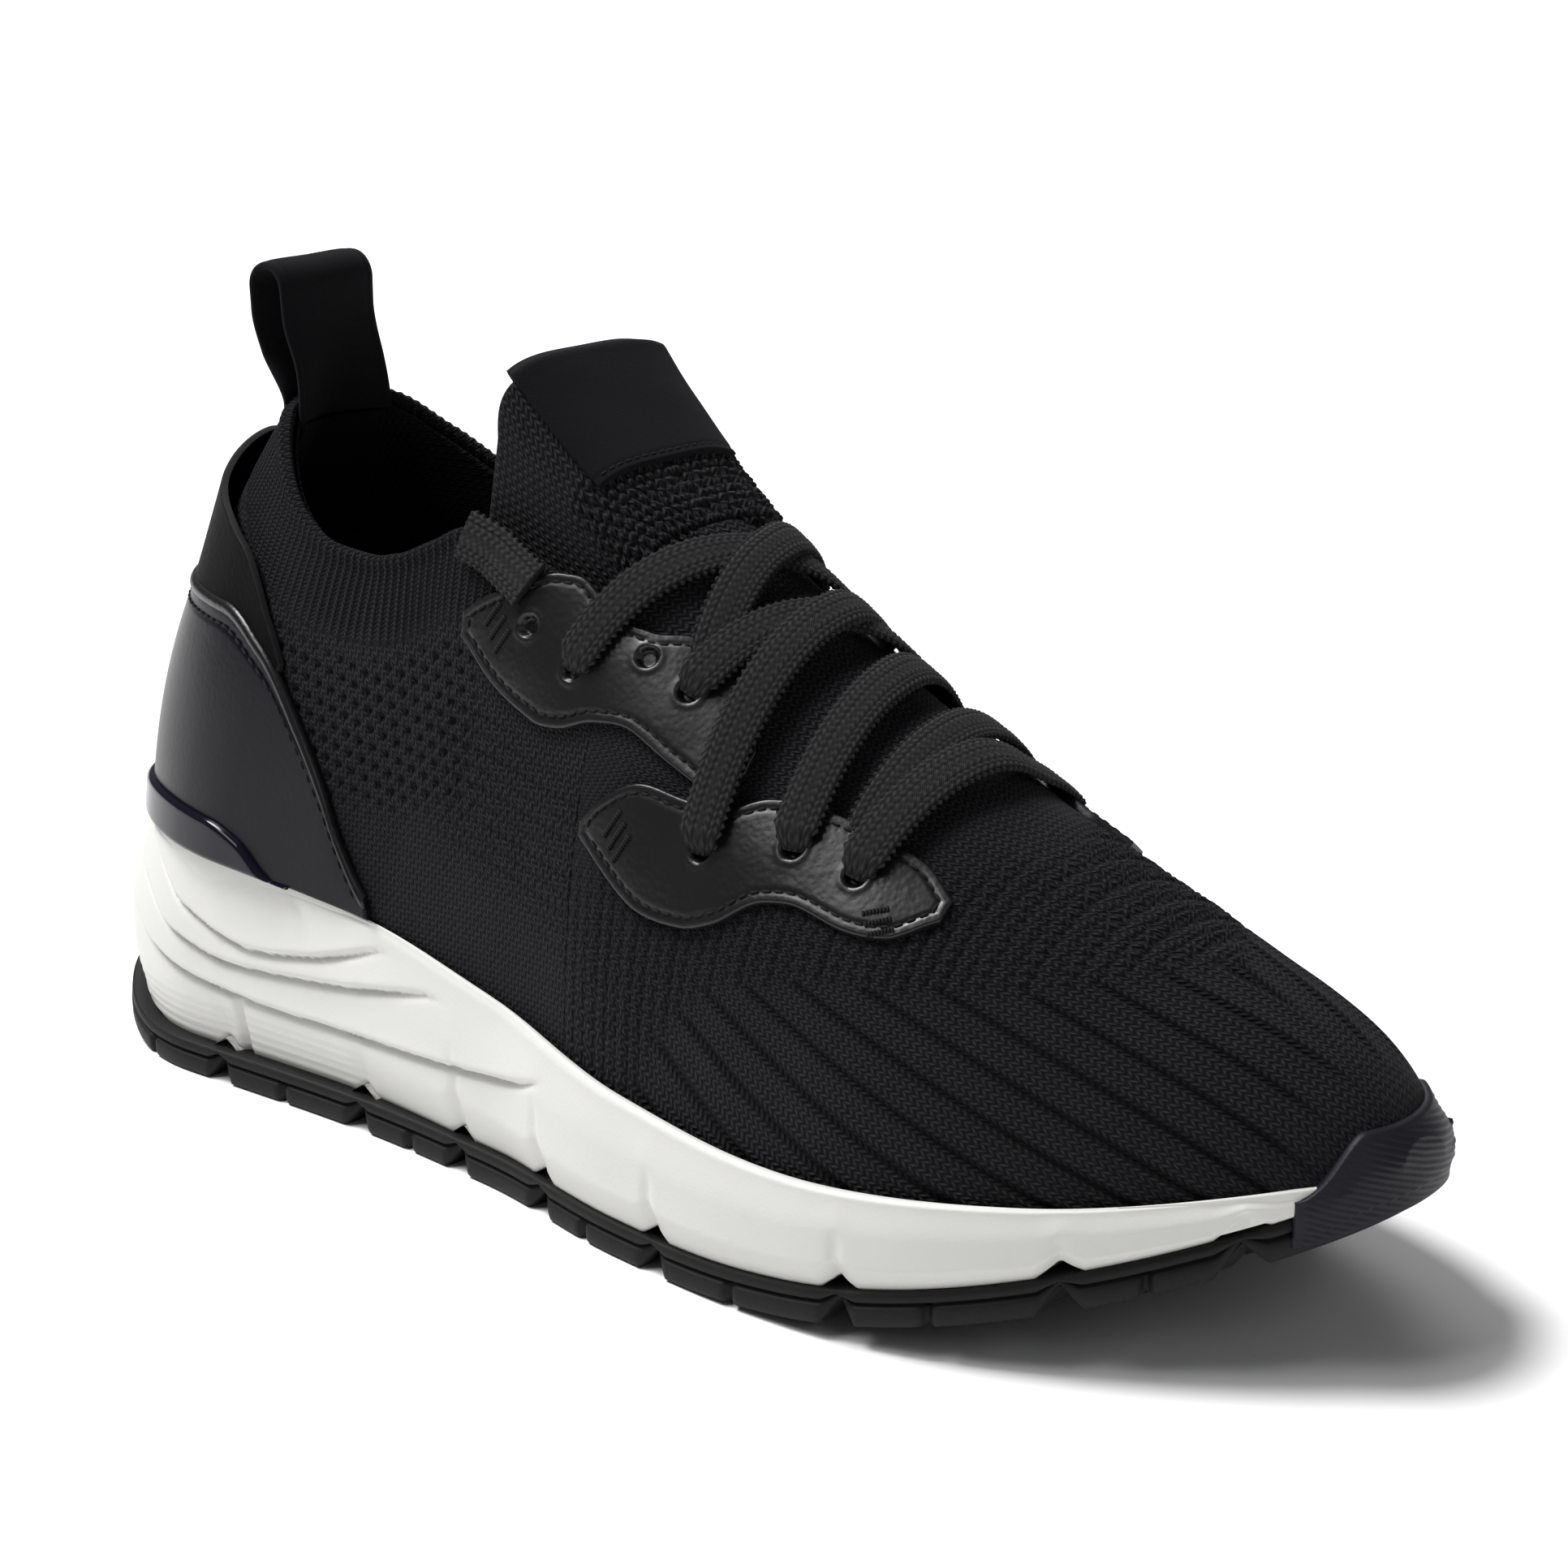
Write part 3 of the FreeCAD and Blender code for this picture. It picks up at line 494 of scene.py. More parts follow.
def gloss_material(name):
    s = Shader(name)
    flow = s.noise(26, 2)
    tint = s.colour(flow, (0.0035, 0.003, 0.007), (0.008, 0.007, 0.015))
    return s.finish(tint, s.between(flow, 0.08, 0.16), s.noise(120, 3), 0.00004, Specular_IOR_Level=0.2,
                    Coat_Weight=0.08, Coat_Roughness=0.04)


def board_material(name, dark, light, scale):
    s = Shader(name)
    weave = s.node("TexWave", {"Scale": scale, "Distortion": 1.5}, bands_direction="DIAGONAL").outputs["Fac"]
    fibre = s.noise(1800, 3)
    tint = s.colour(s.math("MULTIPLY_ADD", fibre, 0.6, s.math("MULTIPLY", weave, 0.4)), dark, light)
    return s.finish(tint, s.between(fibre, 0.8, 0.95), weave, 0.0001, Specular_IOR_Level=0.15)


KNIT_WALE = 1.6
MATERIALS = {
    "knit": knit_material("knit_black", KNIT_WALE, 1.35, (0.0009, 0.0009, 0.0012), (0.021, 0.021, 0.024)),
    "knit_tongue": knit_material("knit_tongue", 1.9, 1.6, (0.001, 0.001, 0.0013), (0.027, 0.027, 0.03)),
    "lining": knit_material("knit_lining", 1.6, 1.1, (0.002, 0.002, 0.003), (0.013, 0.013, 0.016)),
    "leather": leather_material("leather_satin", (0.0022, 0.0022, 0.0026), (0.006, 0.006, 0.0065),
                                (0.008, 0.008, 0.008), 0.33, 0.42),
    "counter": leather_material("leather_smooth", (0.0016, 0.0014, 0.0036), (0.0045, 0.004, 0.0075),
                                (0.008, 0.008, 0.01), 0.3, 0.13, 0.02, 0.45),
    "cuff": leather_material("leather_cuff", (0.001, 0.001, 0.0014), (0.003, 0.003, 0.0035),
                             (0.02, 0.02, 0.02), 0.55, 0.04),
    "suede": suede_material("suede_black", (0.0008, 0.0008, 0.0012), (0.0072, 0.0072, 0.009)),
    "braid": braid_material("braid_black", (0.0007, 0.0007, 0.0009), (0.036, 0.036, 0.037)),
    "foam": foam_material("foam_white"),
    "rubber": rubber_material("rubber_charcoal", (0.0035, 0.0035, 0.004), (0.0105, 0.0105, 0.011)),
    "bumper": rubber_material("rubber_bumper", (0.0065, 0.006, 0.01), (0.015, 0.014, 0.02), 0.5),
    "gloss": gloss_material("gloss_plastic"),
    "thread": rubber_material("thread_black", (0.0015, 0.0015, 0.002), (0.009, 0.009, 0.01), 0.7),
    "board": board_material("fibre_board", (0.012, 0.011, 0.01), (0.034, 0.032, 0.029), 90.0),
    "insole": board_material("insole_cloth", (0.006, 0.006, 0.008), (0.02, 0.02, 0.024), 420.0),
}


def dress(piece, material, body="shoe", replaces=()):
    """Gives a piece its material, the CAD nodes it stands for and, if it has one, its body."""
    piece.data.materials.clear()
    piece.data.materials.append(MATERIALS[material])
    if replaces:
        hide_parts(*replaces)
    if body:
        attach(piece, body)
    return piece


# Camera, floor and light --------------------------------------------------------------------------
FLOOR_HALF = 15.0
WORLD_LIGHT = 0.1
CAMERA_LENS, CAMERA_DISTANCE = 80.73, 0.6525
LIGHT_TARGET = (0, 0, 0.06)
# Name, kind, place in metres, size (an angle for the sun) and power
LIGHTS = (
    ("sun", "SUN", (-0.45, -0.2, 1.0), 0.38, 3.5),
    ("front", "AREA", (-0.3, -0.75, 1.2), 0.5, 5.0),
    ("side", "AREA", (1.2, -0.3, 0.9), 0.7, 1.6),
    ("back", "AREA", (-0.8, 0.9, 0.9), 0.8, 6.0),
)


def place_camera(scene):
    back = Vector((0.6209, -0.7257, 0.2962)).normalized()
    target = Vector((0.0083, 0.0117, 0.0712))
    camera_data = bpy.data.cameras.new("camera")
    camera_data.lens = CAMERA_LENS
    camera_data.sensor_width = 36.0
    camera_data.clip_start = 0.01
    camera = bpy.data.objects.new("camera", camera_data)
    camera.location = target + back * CAMERA_DISTANCE
    camera.rotation_euler = back.to_track_quat("Z", "Y").to_euler()
    scene.collection.objects.link(camera)
    scene.camera = camera


def lay_floor(scene):
    far = FLOOR_HALF
    mesh = bpy.data.meshes.new("floor")
    mesh.from_pydata([(-far, -far, 0), (far, -far, 0), (far, far, 0), (-far, far, 0)], [], [(0, 1, 2, 3)])
    floor = bpy.data.objects.new("floor", mesh)
    scene.collection.objects.link(floor)
    s = Shader("floor_pale")
    pale = s.colour(s.noise(0.6), (0.93, 0.93, 0.93), (0.95, 0.95, 0.95))
    floor.data.materials.append(s.finish(pale, 0.9, Specular_IOR_Level=0.0))


def hang_lights(scene):
    for name, kind, place, size, power in LIGHTS:
        light_data = bpy.data.lights.new(name, kind)
        light_data.energy = power
        if kind == "SUN":
            light_data.angle = size
        else:
            light_data.size = size
        light = bpy.data.objects.new(name, light_data)
        light.location = place
        light.rotation_euler = (Vector(place) - Vector(LIGHT_TARGET)).to_track_quat("Z", "Y").to_euler()
        scene.collection.objects.link(light)


def studio():
    scene = bpy.context.scene
    scene.view_settings.view_transform = "Standard"
    place_camera(scene)
    world = bpy.data.worlds.new("studio")
    world.use_nodes = True
    backdrop = world.node_tree.nodes["Background"].inputs
    backdrop[0].default_value = (1, 1, 1, 1)
    backdrop[1].default_value = WORLD_LIGHT
    scene.world = world
    lay_floor(scene)
    hang_lights(scene)


studio()


# Sole unit ----------------------------------------------------------------------------------------
RING_COUNT = 620


def ring_stations(first, last):
    """Stations once around the sole: lateral side to the toe, then the medial side back to the heel."""
    turn = np.pi * (np.arange(RING_COUNT) + 0.5) / RING_COUNT
    x = (first + last) / 2 - (last - first) / 2 * np.cos(turn)
    return np.concatenate([x, x[::-1]]), np.concatenate([-np.ones(RING_COUNT), np.ones(RING_COUNT)])


SOLE_X, SOLE_SIDE = ring_stations(HEEL_END + 0.02, SOLE_TOE - 0.02)
BOWL_X, _ = ring_stations(UPPER_HEEL - 0.3, UPPER_TOE - 1)


def plan_ring(x, side, half):
    """Outline in plan and its outward normals."""
    points = np.stack([x, axis_y(x) + side * half], -1)
    along = np.roll(points, -2, 0) - np.roll(points, 2, 0)
    out = unit(np.stack([along[:, 1], -along[:, 0]], -1))
    return points, out


SOLE_RING, SOLE_OUT = plan_ring(SOLE_X, SOLE_SIDE, np.maximum(0.3, sole_half(SOLE_X, SOLE_SIDE)))
BOWL_RING, _ = plan_ring(BOWL_X, SOLE_SIDE, np.maximum(0.3, upper_half(BOWL_X, SOLE_SIDE) + BOWL_GAP))
SOLE_LEFT = arc_length(SOLE_RING, 0)
SOLE_REACH = np.minimum(SOLE_LEFT, SOLE_LEFT[-1] - SOLE_LEFT)


def ring_row(ring, z):
    return np.concatenate([ring, np.broadcast_to(z, len(ring))[:, None]], -1)


def centre_rows(ring, z, shares):
    """Rows from the ring's outline to the centre line or back, by shares of the half width."""
    middle = axis_y(ring[:, 0])
    rows = []
    for share in shares:
        y = middle + (ring[:, 1] - middle) * share
        rows.append(ring_row(np.stack([ring[:, 0], y], -1), z))
    return rows


def reach_of(x):
    """Distance around the lateral side from the heel to x."""
    lateral = SOLE_SIDE < 0
    return np.interp(x, SOLE_X[lateral], SOLE_REACH[lateral])


def wall_line(points):
    """Height of a sculpted line at each station of the ring, from (x, height) points."""
    return smooth([(reach_of(x), z) for x, z in points], SOLE_REACH)


# Heights of the three sculpted lines of the heel, from the top one down
LINE_A = wall_line(((-149, 50), (-140, 49), (-126, 46), (-115, 40), (-105, 34.5), (-86, 30), (-70, 32),
                    (-50, 38)))
LINE_B = wall_line(((-149, 43), (-140, 41), (-122, 35), (-108, 28.5), (-92, 25.6), (-68, 27.2), (-36, 33)))
LINE_C = wall_line(((-149, 35), (-140, 33), (-128, 28.5), (-117, 23.8), (-100, 20), (-77, 18.6),
                    (-57, 19), (-24, 21.5), (-8, 24), (2, 28)))


def notch_rise(x, depth, half):
    """Height that the V notches take out of the tread's edge."""
    rise = np.zeros_like(x)
    for notch in FLEX_NOTCHES:
        rise = np.maximum(rise, depth * np.clip(1 - np.abs(x - notch) / half, 0, 1))
    return rise


def wall_relief(z, share):
    """Sculpting of the midsole's wall, outwards in mm."""
    relief = np.zeros_like(z)
    fades = ((LINE_A, -66, -44, 1.5), (LINE_B, -52, -28, 1.6), (LINE_C, -16, 2, 1.7))
    for line, fade_from, fade_to, depth in fades:
        strength = 1 - ease((SOLE_X - fade_from) / (fade_to - fade_from))
        gap = z - line
        step = np.where(gap > 0, np.exp(-gap / 5.0), -np.exp(gap / 1.1) * 0.35)
        relief += strength * (-depth * bump_at(gap, 0.75) + 0.75 * depth * step - 0.45 * depth)
    crease_fade = ease((SOLE_X + 60) / 30) * (1 - ease((share - 0.35) / 0.3))
    for notch in FLEX_NOTCHES:
        relief -= 0.5 * crease_fade * bump_at(SOLE_X - notch, 1.1)
    blocks = (1 - ease((SOLE_X + 62) / 8)) * (1 - ease((z - 15) / 2))
    relief += 0.16 * blocks * np.sin(2 * np.pi * z / 1.9)
    block_notch = bump_at(SOLE_X + 91, 1.1) * (1 - ease((z - 17) / 3))
    return relief - 1.6 * block_notch


def midsole():
    bottom = midsole_bottom(SOLE_X) + notch_rise(SOLE_X, 2.6, 3.6)
    top = rim(SOLE_X)
    lean = HEEL_LEAN * ease((-88 - SOLE_X) / 55)
    rows = centre_rows(SOLE_RING - SOLE_OUT * 3, bottom, np.linspace(0, 1, 8))
    for share in np.concatenate([[0, 0.012, 0.03], np.linspace(0.05, 0.96, 58), [0.975, 0.99, 1.0]]):
        z = bottom + (top - bottom) * share
        tuck = -2.0 * (1 - ease(share / 0.3)) - 1.1 * ease((share - 0.6) / 0.4)
        tuck = tuck - lean * ease((share - 0.4) / 0.6)
        corner = -0.5 * bump_at(share, 0.012) - 0.5 * bump_at(share - 1, 0.012)
        rows.append(ring_row(SOLE_RING + SOLE_OUT * (tuck + corner + wall_relief(z, share))[:, None], z))
    lip = rows[-1][:, :2]
    for part in (0.25, 0.8):
        rows.append(ring_row(lip + (BOWL_RING - lip) * part, top + 0.3))
    for drop in (-0.2, 0.3, 2, 5, BOWL_DEPTH):
        rows.append(ring_row(BOWL_RING, np.maximum(rim(BOWL_X) - drop, base_z(BOWL_X))))
    rows += centre_rows(BOWL_RING, base_z(BOWL_X), np.linspace(0.95, 0, 8))
    return dress(loops("midsole_foam", np.array(rows)), "foam", replaces=["midsole"])


TREAD_SLITS = (-118, -78, -42, 11, 49, 88, 120)
# Side of the tread as (share of the way down, distance out)
TREAD_PROFILE = ((0, -1.7), (0.03, -1.1), (0.25, -0.9), (0.3, -1.1), (0.34, -2.0), (0.38, -2.0),
                 (0.42, -1.1), (0.5, -0.75), (0.8, -0.8), (0.93, -1.0), (0.985, -1.5), (1.0, -2.1))


def tread_relief(x, y):
    """Depth of the grooves between the lugs under the shoe, in mm."""
    chevron = np.cos(2 * np.pi * (x + 0.55 * np.abs(y)) / 15.0)
    rows = ease((-chevron - 0.35) / 0.3)
    columns = ease((bump_at(np.abs(y) - 16, 2.6) - 0.4) / 0.3)
    centre = ease((bump_at(y, 2.2) - 0.4) / 0.3)
    return 3.2 * np.maximum(np.maximum(rows, columns), centre)


def outsole():
    low, high = ground(SOLE_X), midsole_bottom(SOLE_X) + 0.15
    notch = notch_rise(SOLE_X, NOTCH_DEPTH, NOTCH_HALF)
    slits = np.zeros_like(SOLE_X)
    for slit in TREAD_SLITS:
        slits += bump_at(SOLE_X - slit, 0.75)
    rows = centre_rows(SOLE_RING - SOLE_OUT * 3, high, np.linspace(0, 1, 4))
    for share, out in TREAD_PROFILE:
        z = high + (low + notch - high) * share
        lug = ease((share - 0.3) / 0.1)
        reach = out - lug * (1.9 * slits + 0.45 * notch)
        rows.append(ring_row(SOLE_RING + SOLE_OUT * reach[:, None], z))
    for share in np.linspace(0.975, 0, 60):
        inner = SOLE_RING - SOLE_OUT * 2.6
        middle = axis_y(SOLE_X)
        y = middle + (inner[:, 1] - middle) * share
        relief = tread_relief(SOLE_X, y - middle) * ease((0.97 - share) / 0.04)
        rows.append(ring_row(np.stack([inner[:, 0], y], -1), low + np.maximum(notch, relief)))
    return dress(loops("outsole_rubber", np.array(rows)), "rubber", replaces=["outsole"])


def arch_height(x, y):
    """Height of the upper's surface over a place in plan."""
    side = np.where(y < axis_y(x), -1, 1)
    share = np.clip(np.abs(y - axis_y(x)) / np.maximum(0.5, upper_half(x, side)), 0, 1)
    fullness = smooth(FULLNESS, x)
    low = base_z(x)
    return low + (np.maximum(low + 1, smooth(RIDGE, x)) - low) * (1 - share ** fullness) ** (1 / fullness)


def knit_reach(start, direction, z):
    """Distance in plan from start, along direction, to where the upper's surface falls to height z."""
    near, far = np.zeros_like(z), np.full_like(z, 60.0)
    for _ in range(26):
        middle = (near + far) / 2
        place = start + direction * middle[..., None]
        inside = (arch_height(place[..., 0], place[..., 1]) > z) & (place[..., 0] < KNIT_TOE)
        near, far = np.where(inside, middle, near), np.where(inside, far, middle)
    return near


BUMPER_TOP = 43.0
BUMPER_TALL = 22.0
BUMPER_ARC_X = 130.0
# Degrees around the toe at which the bumper ends, lateral side negative
BUMPER_LATERAL, BUMPER_MEDIAL = -64, 78


def bumper_grid(offset_rows, degrees, shares):
    """Grid of the toe bumper; offset_rows gives the distance out for each place."""
    d, t = np.meshgrid(degrees, shares, indexing="ij")
    side = np.where(d < 0, -1, 1)
    turn = np.radians(np.abs(d))
    x = BUMPER_ARC_X + (SOLE_TOE - BUMPER_ARC_X) * np.cos(turn)
    y = side * np.maximum(0.1, sole_half(x, side)) * 1.004
    crest = np.where(d < 0, ease((d - BUMPER_LATERAL) / 34), ease((80 - d) / 34))
    low = midsole_bottom(x) - 4.5
    end_top = rim(x) - 1.5
    high = end_top + (BUMPER_TOP - rim(x) + 1.5) * crest
    z = low + (high - low) * t
    sole = np.stack([x, axis_y(x) + y], -1)
    start = np.stack([np.full_like(x, 112.0), np.full_like(x, axis_y(BUMPER_ARC_X))], -1)
    direction = unit(sole - start)
    sole_reach = np.linalg.norm(sole - start, axis=-1)
    hug = ease((z - rim(x) + 3) / 8)
    reach = sole_reach * (1 - hug) + np.minimum(sole_reach, knit_reach(start, direction, z) + 0.2) * hug
    flat = start + direction * (reach + offset_rows(d, t, z))[..., None]
    return np.concatenate([flat, z[..., None]], -1)


def bumper():
    lateral_end = [BUMPER_LATERAL, -63.8, -63.4, -62.8]
    medial_end = [76.8, 77.4, 77.8, BUMPER_MEDIAL]
    degrees = np.concatenate([lateral_end, np.linspace(-62, 76, 190), medial_end])
    shares = edged(BUMPER_TALL, 0.24)

    def outer(d, t, z):
        from_end = np.minimum(d - BUMPER_LATERAL, BUMPER_MEDIAL - d)
        edge = np.minimum(np.minimum(t, 1 - t) * BUMPER_TALL, from_end * 0.4)
        rounding = np.sqrt(1 - (1 - np.clip(edge / 0.6, 0, 1)) ** 2)
        ribs = 0.09 * np.sin(2 * np.pi * (z + 0.12 * d) / 1.15) * ease((edge - 1) / 1.0)
        step = -0.6 * (1 - ease((t - 0.22) / 0.03))
        thick = (1.6 - 0.9 * ease((t - 0.6) / 0.4)) * (0.3 + 0.7 * ease(from_end / 16))
        tucked = -0.9 * (1 - ease(np.minimum(d + 72, BUMPER_MEDIAL - d) / 14))
        return 0.35 + tucked + thick * rounding + ribs + step

    def inner(d, t, z):
        return -0.7 + 0 * z

    grid = bumper_grid(outer, degrees, shares)
    piece = shell("toe_bumper_rubber", grid, bumper_grid(inner, degrees, shares))
    return dress(piece, "bumper", replaces=["toe_bumper"])


midsole()
outsole()
bumper()


# Knitted upper ------------------------------------------------------------------------------------
def rib_place(points):
    """Distance in mm across and along the long ribs, which all run forward and down."""
    x, y, z = points[..., 0], points[..., 1], points[..., 2]
    across_y = -np.abs(y - 0.6 * axis_y(x)) - 0.2 * x + 1.5
    across_z = z + 0.45 * x
    turn = np.arctan2(across_z - 76, -(across_y + 20))
    return np.degrees(turn) * 0.62, (x + 0.2 * np.abs(y) - 0.45 * z) * 0.9


PURL_ROW, PURL_STITCH = 3.4, 2.3


def purl(a, b):
    """Coarse raised rows of slanted stitches."""
    row = np.abs(np.sin(np.pi * a / PURL_ROW)) ** 0.6
    lean = np.where(np.floor(a / PURL_ROW) % 2 > 0, 0.6, -0.6)
    stitch = 0.5 + 0.5 * np.cos(2 * np.pi * (b + lean * (a % PURL_ROW)) / PURL_STITCH)
    return row * (0.35 + 0.65 * stitch)


def holes(a, b, pitch_a, pitch_b):
    """Staggered small openings, 1 at their centres."""
    row = np.floor(b / pitch_b)
    ca = (a / pitch_a + 0.5 * (row % 2)) % 1 - 0.5
    cb = (b / pitch_b) % 1 - 0.5
    return bump_at(np.hypot(ca * pitch_a, cb * pitch_b), 0.8)


RIB_START = ((0, 16), (16, 26), (25, 36), (36, 58), (42, 72), (52, 90), (64, 100), (86, 110), (90, 111))
RIB_PITCH = 7.6
COLLAR_PITCH = 1.9


def forefoot():
    rows = np.linspace(0, 1, 330)
    x = HINGE_X + (KNIT_TOE - HINGE_X) * np.sin(np.pi / 2 * rows)
    angles = np.linspace(0, 180, 400)
    xx, aa = np.meshgrid(x, angles, indexing="ij")
    points = arch_point(xx, aa)
    out = arch_normal(xx, aa)
    across, along = rib_place(points)
    mirrored = np.where(aa > 90, 180 - aa, aa)
    start = smooth(RIB_START, mirrored)
    ribbed = ease((xx - start) / 7)
    toe_fade = 1 - ease((xx - 132) / 10)
    phase = np.abs(across / RIB_PITCH - np.round(across / RIB_PITCH)) * RIB_PITCH
    relief = ribbed * toe_fade * (-0.95 * bump_at(phase, 0.8) + 0.25 * np.cos(np.pi * phase / RIB_PITCH * 2))
    crown = arc_length(points, 1)
    crown = crown - crown[:, 200][:, None]
    coarse = (1 - ribbed) * ease((xx - start + 34) / 12)
    weave = purl(xx * 1.15, crown)
    relief += 0.9 * coarse * (weave - 0.4)
    relief += 0.06 * ripple(xx, crown, 3.0)
    relief *= ease((xx - HINGE_X) / 3) * 0.9 + 0.1
    outer = points + out * relief[..., None]
    inner = points - out * KNIT_THICK
    # gaps is painted shade: the rib grooves and the gaps of the coarse weave are darkened through the cloth
    # mark.
    gaps = 0.85 * ribbed * toe_fade * bump_at(phase, 0.9) + 0.75 * coarse * ease((0.45 - weave) / 0.4)
    cloth = np.stack([along, across, gaps], -1)
    return dress(shell("knit_forefoot", outer, inner, cloth), "knit")


def quarters():
    u = np.linspace(-1, 1, 640)
    heights = np.concatenate([np.linspace(0, 0.975, 165), [0.984, 0.991, 0.996, 1.0]])
    uu, vv = np.meshgrid(u, heights, indexing="ij")
    points = rear_point(uu, vv)
    out = rear_normal(uu, vv)
    up = arc_length(points, 1)
    drop = up[:, -1:] - up
    around = arc_length(points, 0)
    around = around - around[320][None, :]
    edge_around = around[:, -1:] + 0 * up
    collar = 1 - ease((drop - 13) / 8)
    relief = collar * 0.22 * np.sin(2 * np.pi * edge_around / COLLAR_PITCH)
    relief += 0.55 * bump_at(drop - 1.4, 1.3)
    mesh_zone = ease((drop - 17) / 6) * (1 - ease((drop - 52 - 0.15 * points[..., 0]) / 10))
    mesh_zone = mesh_zone * (1 - ease((points[..., 0] + 30) / 10))
    slant_a = (points[..., 0] + points[..., 2]) * 0.7071
    slant_b = (points[..., 0] - points[..., 2]) * 0.7071
    pierced = mesh_zone * holes(slant_a, slant_b, 3.9, 2.9)
    coarse = ease((points[..., 0] + 44) / 14) * ease((drop - 26) / 8) * ease((70 - drop) / 16)
    weave = purl(points[..., 2] * 1.05 + 0.2 * points[..., 0], points[..., 0] * 1.1)
    relief += 0.6 * coarse * (weave - 0.4) - 0.85 * pierced
    # gaps is painted shade: the pierced openings, the gaps of the coarse weave and the troughs of the collar
    # ribs are darkened through the cloth mark.
    gaps = 0.9 * pierced + 0.7 * coarse * ease((0.45 - weave) / 0.4)
    gaps += 0.5 * collar * (0.5 - 0.5 * np.sin(2 * np.pi * edge_around / COLLAR_PITCH))
    relief += 0.06 * ripple(points[..., 0], points[..., 2], 3.0, 1)
    rounding = np.sqrt(1 - (1 - np.clip(drop / 0.9, 0, 1)) ** 2)
    outer = points + out * (relief - (1 - rounding) * KNIT_THICK * 0.5)[..., None]
    lining_ribs = 0.2 * np.sin(2 * np.pi * edge_around / 2.6)
    inside = KNIT_THICK * 0.5 + KNIT_THICK * 0.5 * rounding + lining_ribs * (rounding > 0.9)
    inner = points - out * inside[..., None]
    ribbed = collar[..., None]
    cloth = np.stack([slant_b, slant_a, gaps], -1) * (1 - (ribbed > 0.5))
    cloth += np.stack([drop * 1.5, edge_around * KNIT_WALE / COLLAR_PITCH, gaps], -1) * (ribbed > 0.5)
    return dress(shell("knit_quarters", outer, inner, cloth), "knit", replaces=["knit_upper"])


forefoot()
quarters()


# Leather on the heel ------------------------------------------------------------------------------
COUNTER_TOP = ((-140, 97), (-104, 97), (-88, 91), (-73, 78), (-64, 67), (-58, 56), (-53, 48), (-50, 45.5))
CLIP_TOP = ((-141, 53), (-110, 56), (-93, 55), (-84, 52), (-78, 47.5), (-75, 45.5))
COUNTER_SHARE = 0.66


def wall_x(u):
    return rear_point(u, 0.4 + 0 * u)[..., 0]


def counter_height(u, lift=0.0):
    return smooth(COUNTER_TOP, wall_x(u)) + lift


def rear_patch(name, share, low, high, outer, inner, pitch=0.7):
    """Layer of the rear wall between heights low(u) and high(u), with rounded edges.
    outer and inner give distances out from (u, share of height, distance to the edge)."""
    u = (edged(2 * share * REAR_SPAN, pitch * 1.3) * 2 - 1) * share
    bottom = rear_v(u, low(u))
    top = rear_v(u, high(u))
    tall = np.linalg.norm(rear_point(u, top) - rear_point(u, bottom), axis=-1)
    t = edged(float(np.max(tall)), pitch)
    uu, tt = np.meshgrid(u, t, indexing="ij")
    vv = bottom[:, None] + (top - bottom)[:, None] * tt
    points = rear_point(uu, vv)
    out = rear_normal(uu, vv)
    edge = np.minimum(tt, 1 - tt) * tall[:, None]
    ends = (share - np.abs(uu)) * REAR_SPAN
    edge = np.minimum(edge, ends)
    outer_grid = points + out * outer(uu, tt, edge)[..., None]
    inner_grid = points + out * inner(uu, tt, edge)[..., None]
    cloth = np.stack([arc_length(points, 0), arc_length(points, 1), (edge < 0.35) * 1.0], -1)
    return shell(name, outer_grid, inner_grid, cloth)


def rounded(edge, radius=0.55):
    return np.sqrt(1 - (1 - np.clip(edge / radius, 0, 1)) ** 2)


def rim_height(u):
    return rim(wall_x(u)) + 0.9


def stitch_row(name, path, out, pitch=2.6, length=1.9, radius=0.27, crosswise=False):
    """Row of thread stitches along a path of points with outward normals."""
    gone = arc_length(path[None], 1)[0]
    places = np.arange(pitch, gone[-1] - pitch * 0.6, pitch)
    centre = along_path(places, gone, path)
    ahead = along_path(places + 0.5, gone, path)
    up = unit(along_path(places, gone, out))
    along = unit(ahead - centre)
    across = unit(np.cross(up, along))
    turn = np.linspace(0, 2 * np.pi, 8, endpoint=False)
    shape = ((-0.5, 0.15), (-0.44, 0.7), (-0.25, 1), (0.25, 1), (0.44, 0.7), (0.5, 0.15))
    rings = []
    if crosswise:
        along, across = across, along
    for place, girth in shape:
        spot = centre + along * (place * length) - up * (0.9 * radius * (1 - girth))
        ring = spot[:, None, :] + radius * girth * (np.cos(turn)[None, :, None] * across[:, None, :]
                                                    + np.sin(turn)[None, :, None] * up[:, None, :])
        rings.append(ring)
    points = np.stack(rings, 1)
    number, levels, sides = points.shape[:3]
    index = np.arange(number * levels * sides).reshape(number, levels, sides)
    after = np.roll(index, -1, 2)
    faces = [quads(index[:, :-1], index[:, 1:], after[:, 1:], after[:, :-1])]
    for level, flip in ((0, False), (levels - 1, True)):
        ring = index[:, level]
        for k in (1, 3, 5):
            corners = [ring[:, 0], ring[:, k], ring[:, k + 1], ring[:, k + 2]]
            faces.append(np.stack(corners[::-1] if flip else corners, -1))
    return make_mesh(name, points, np.concatenate(faces))


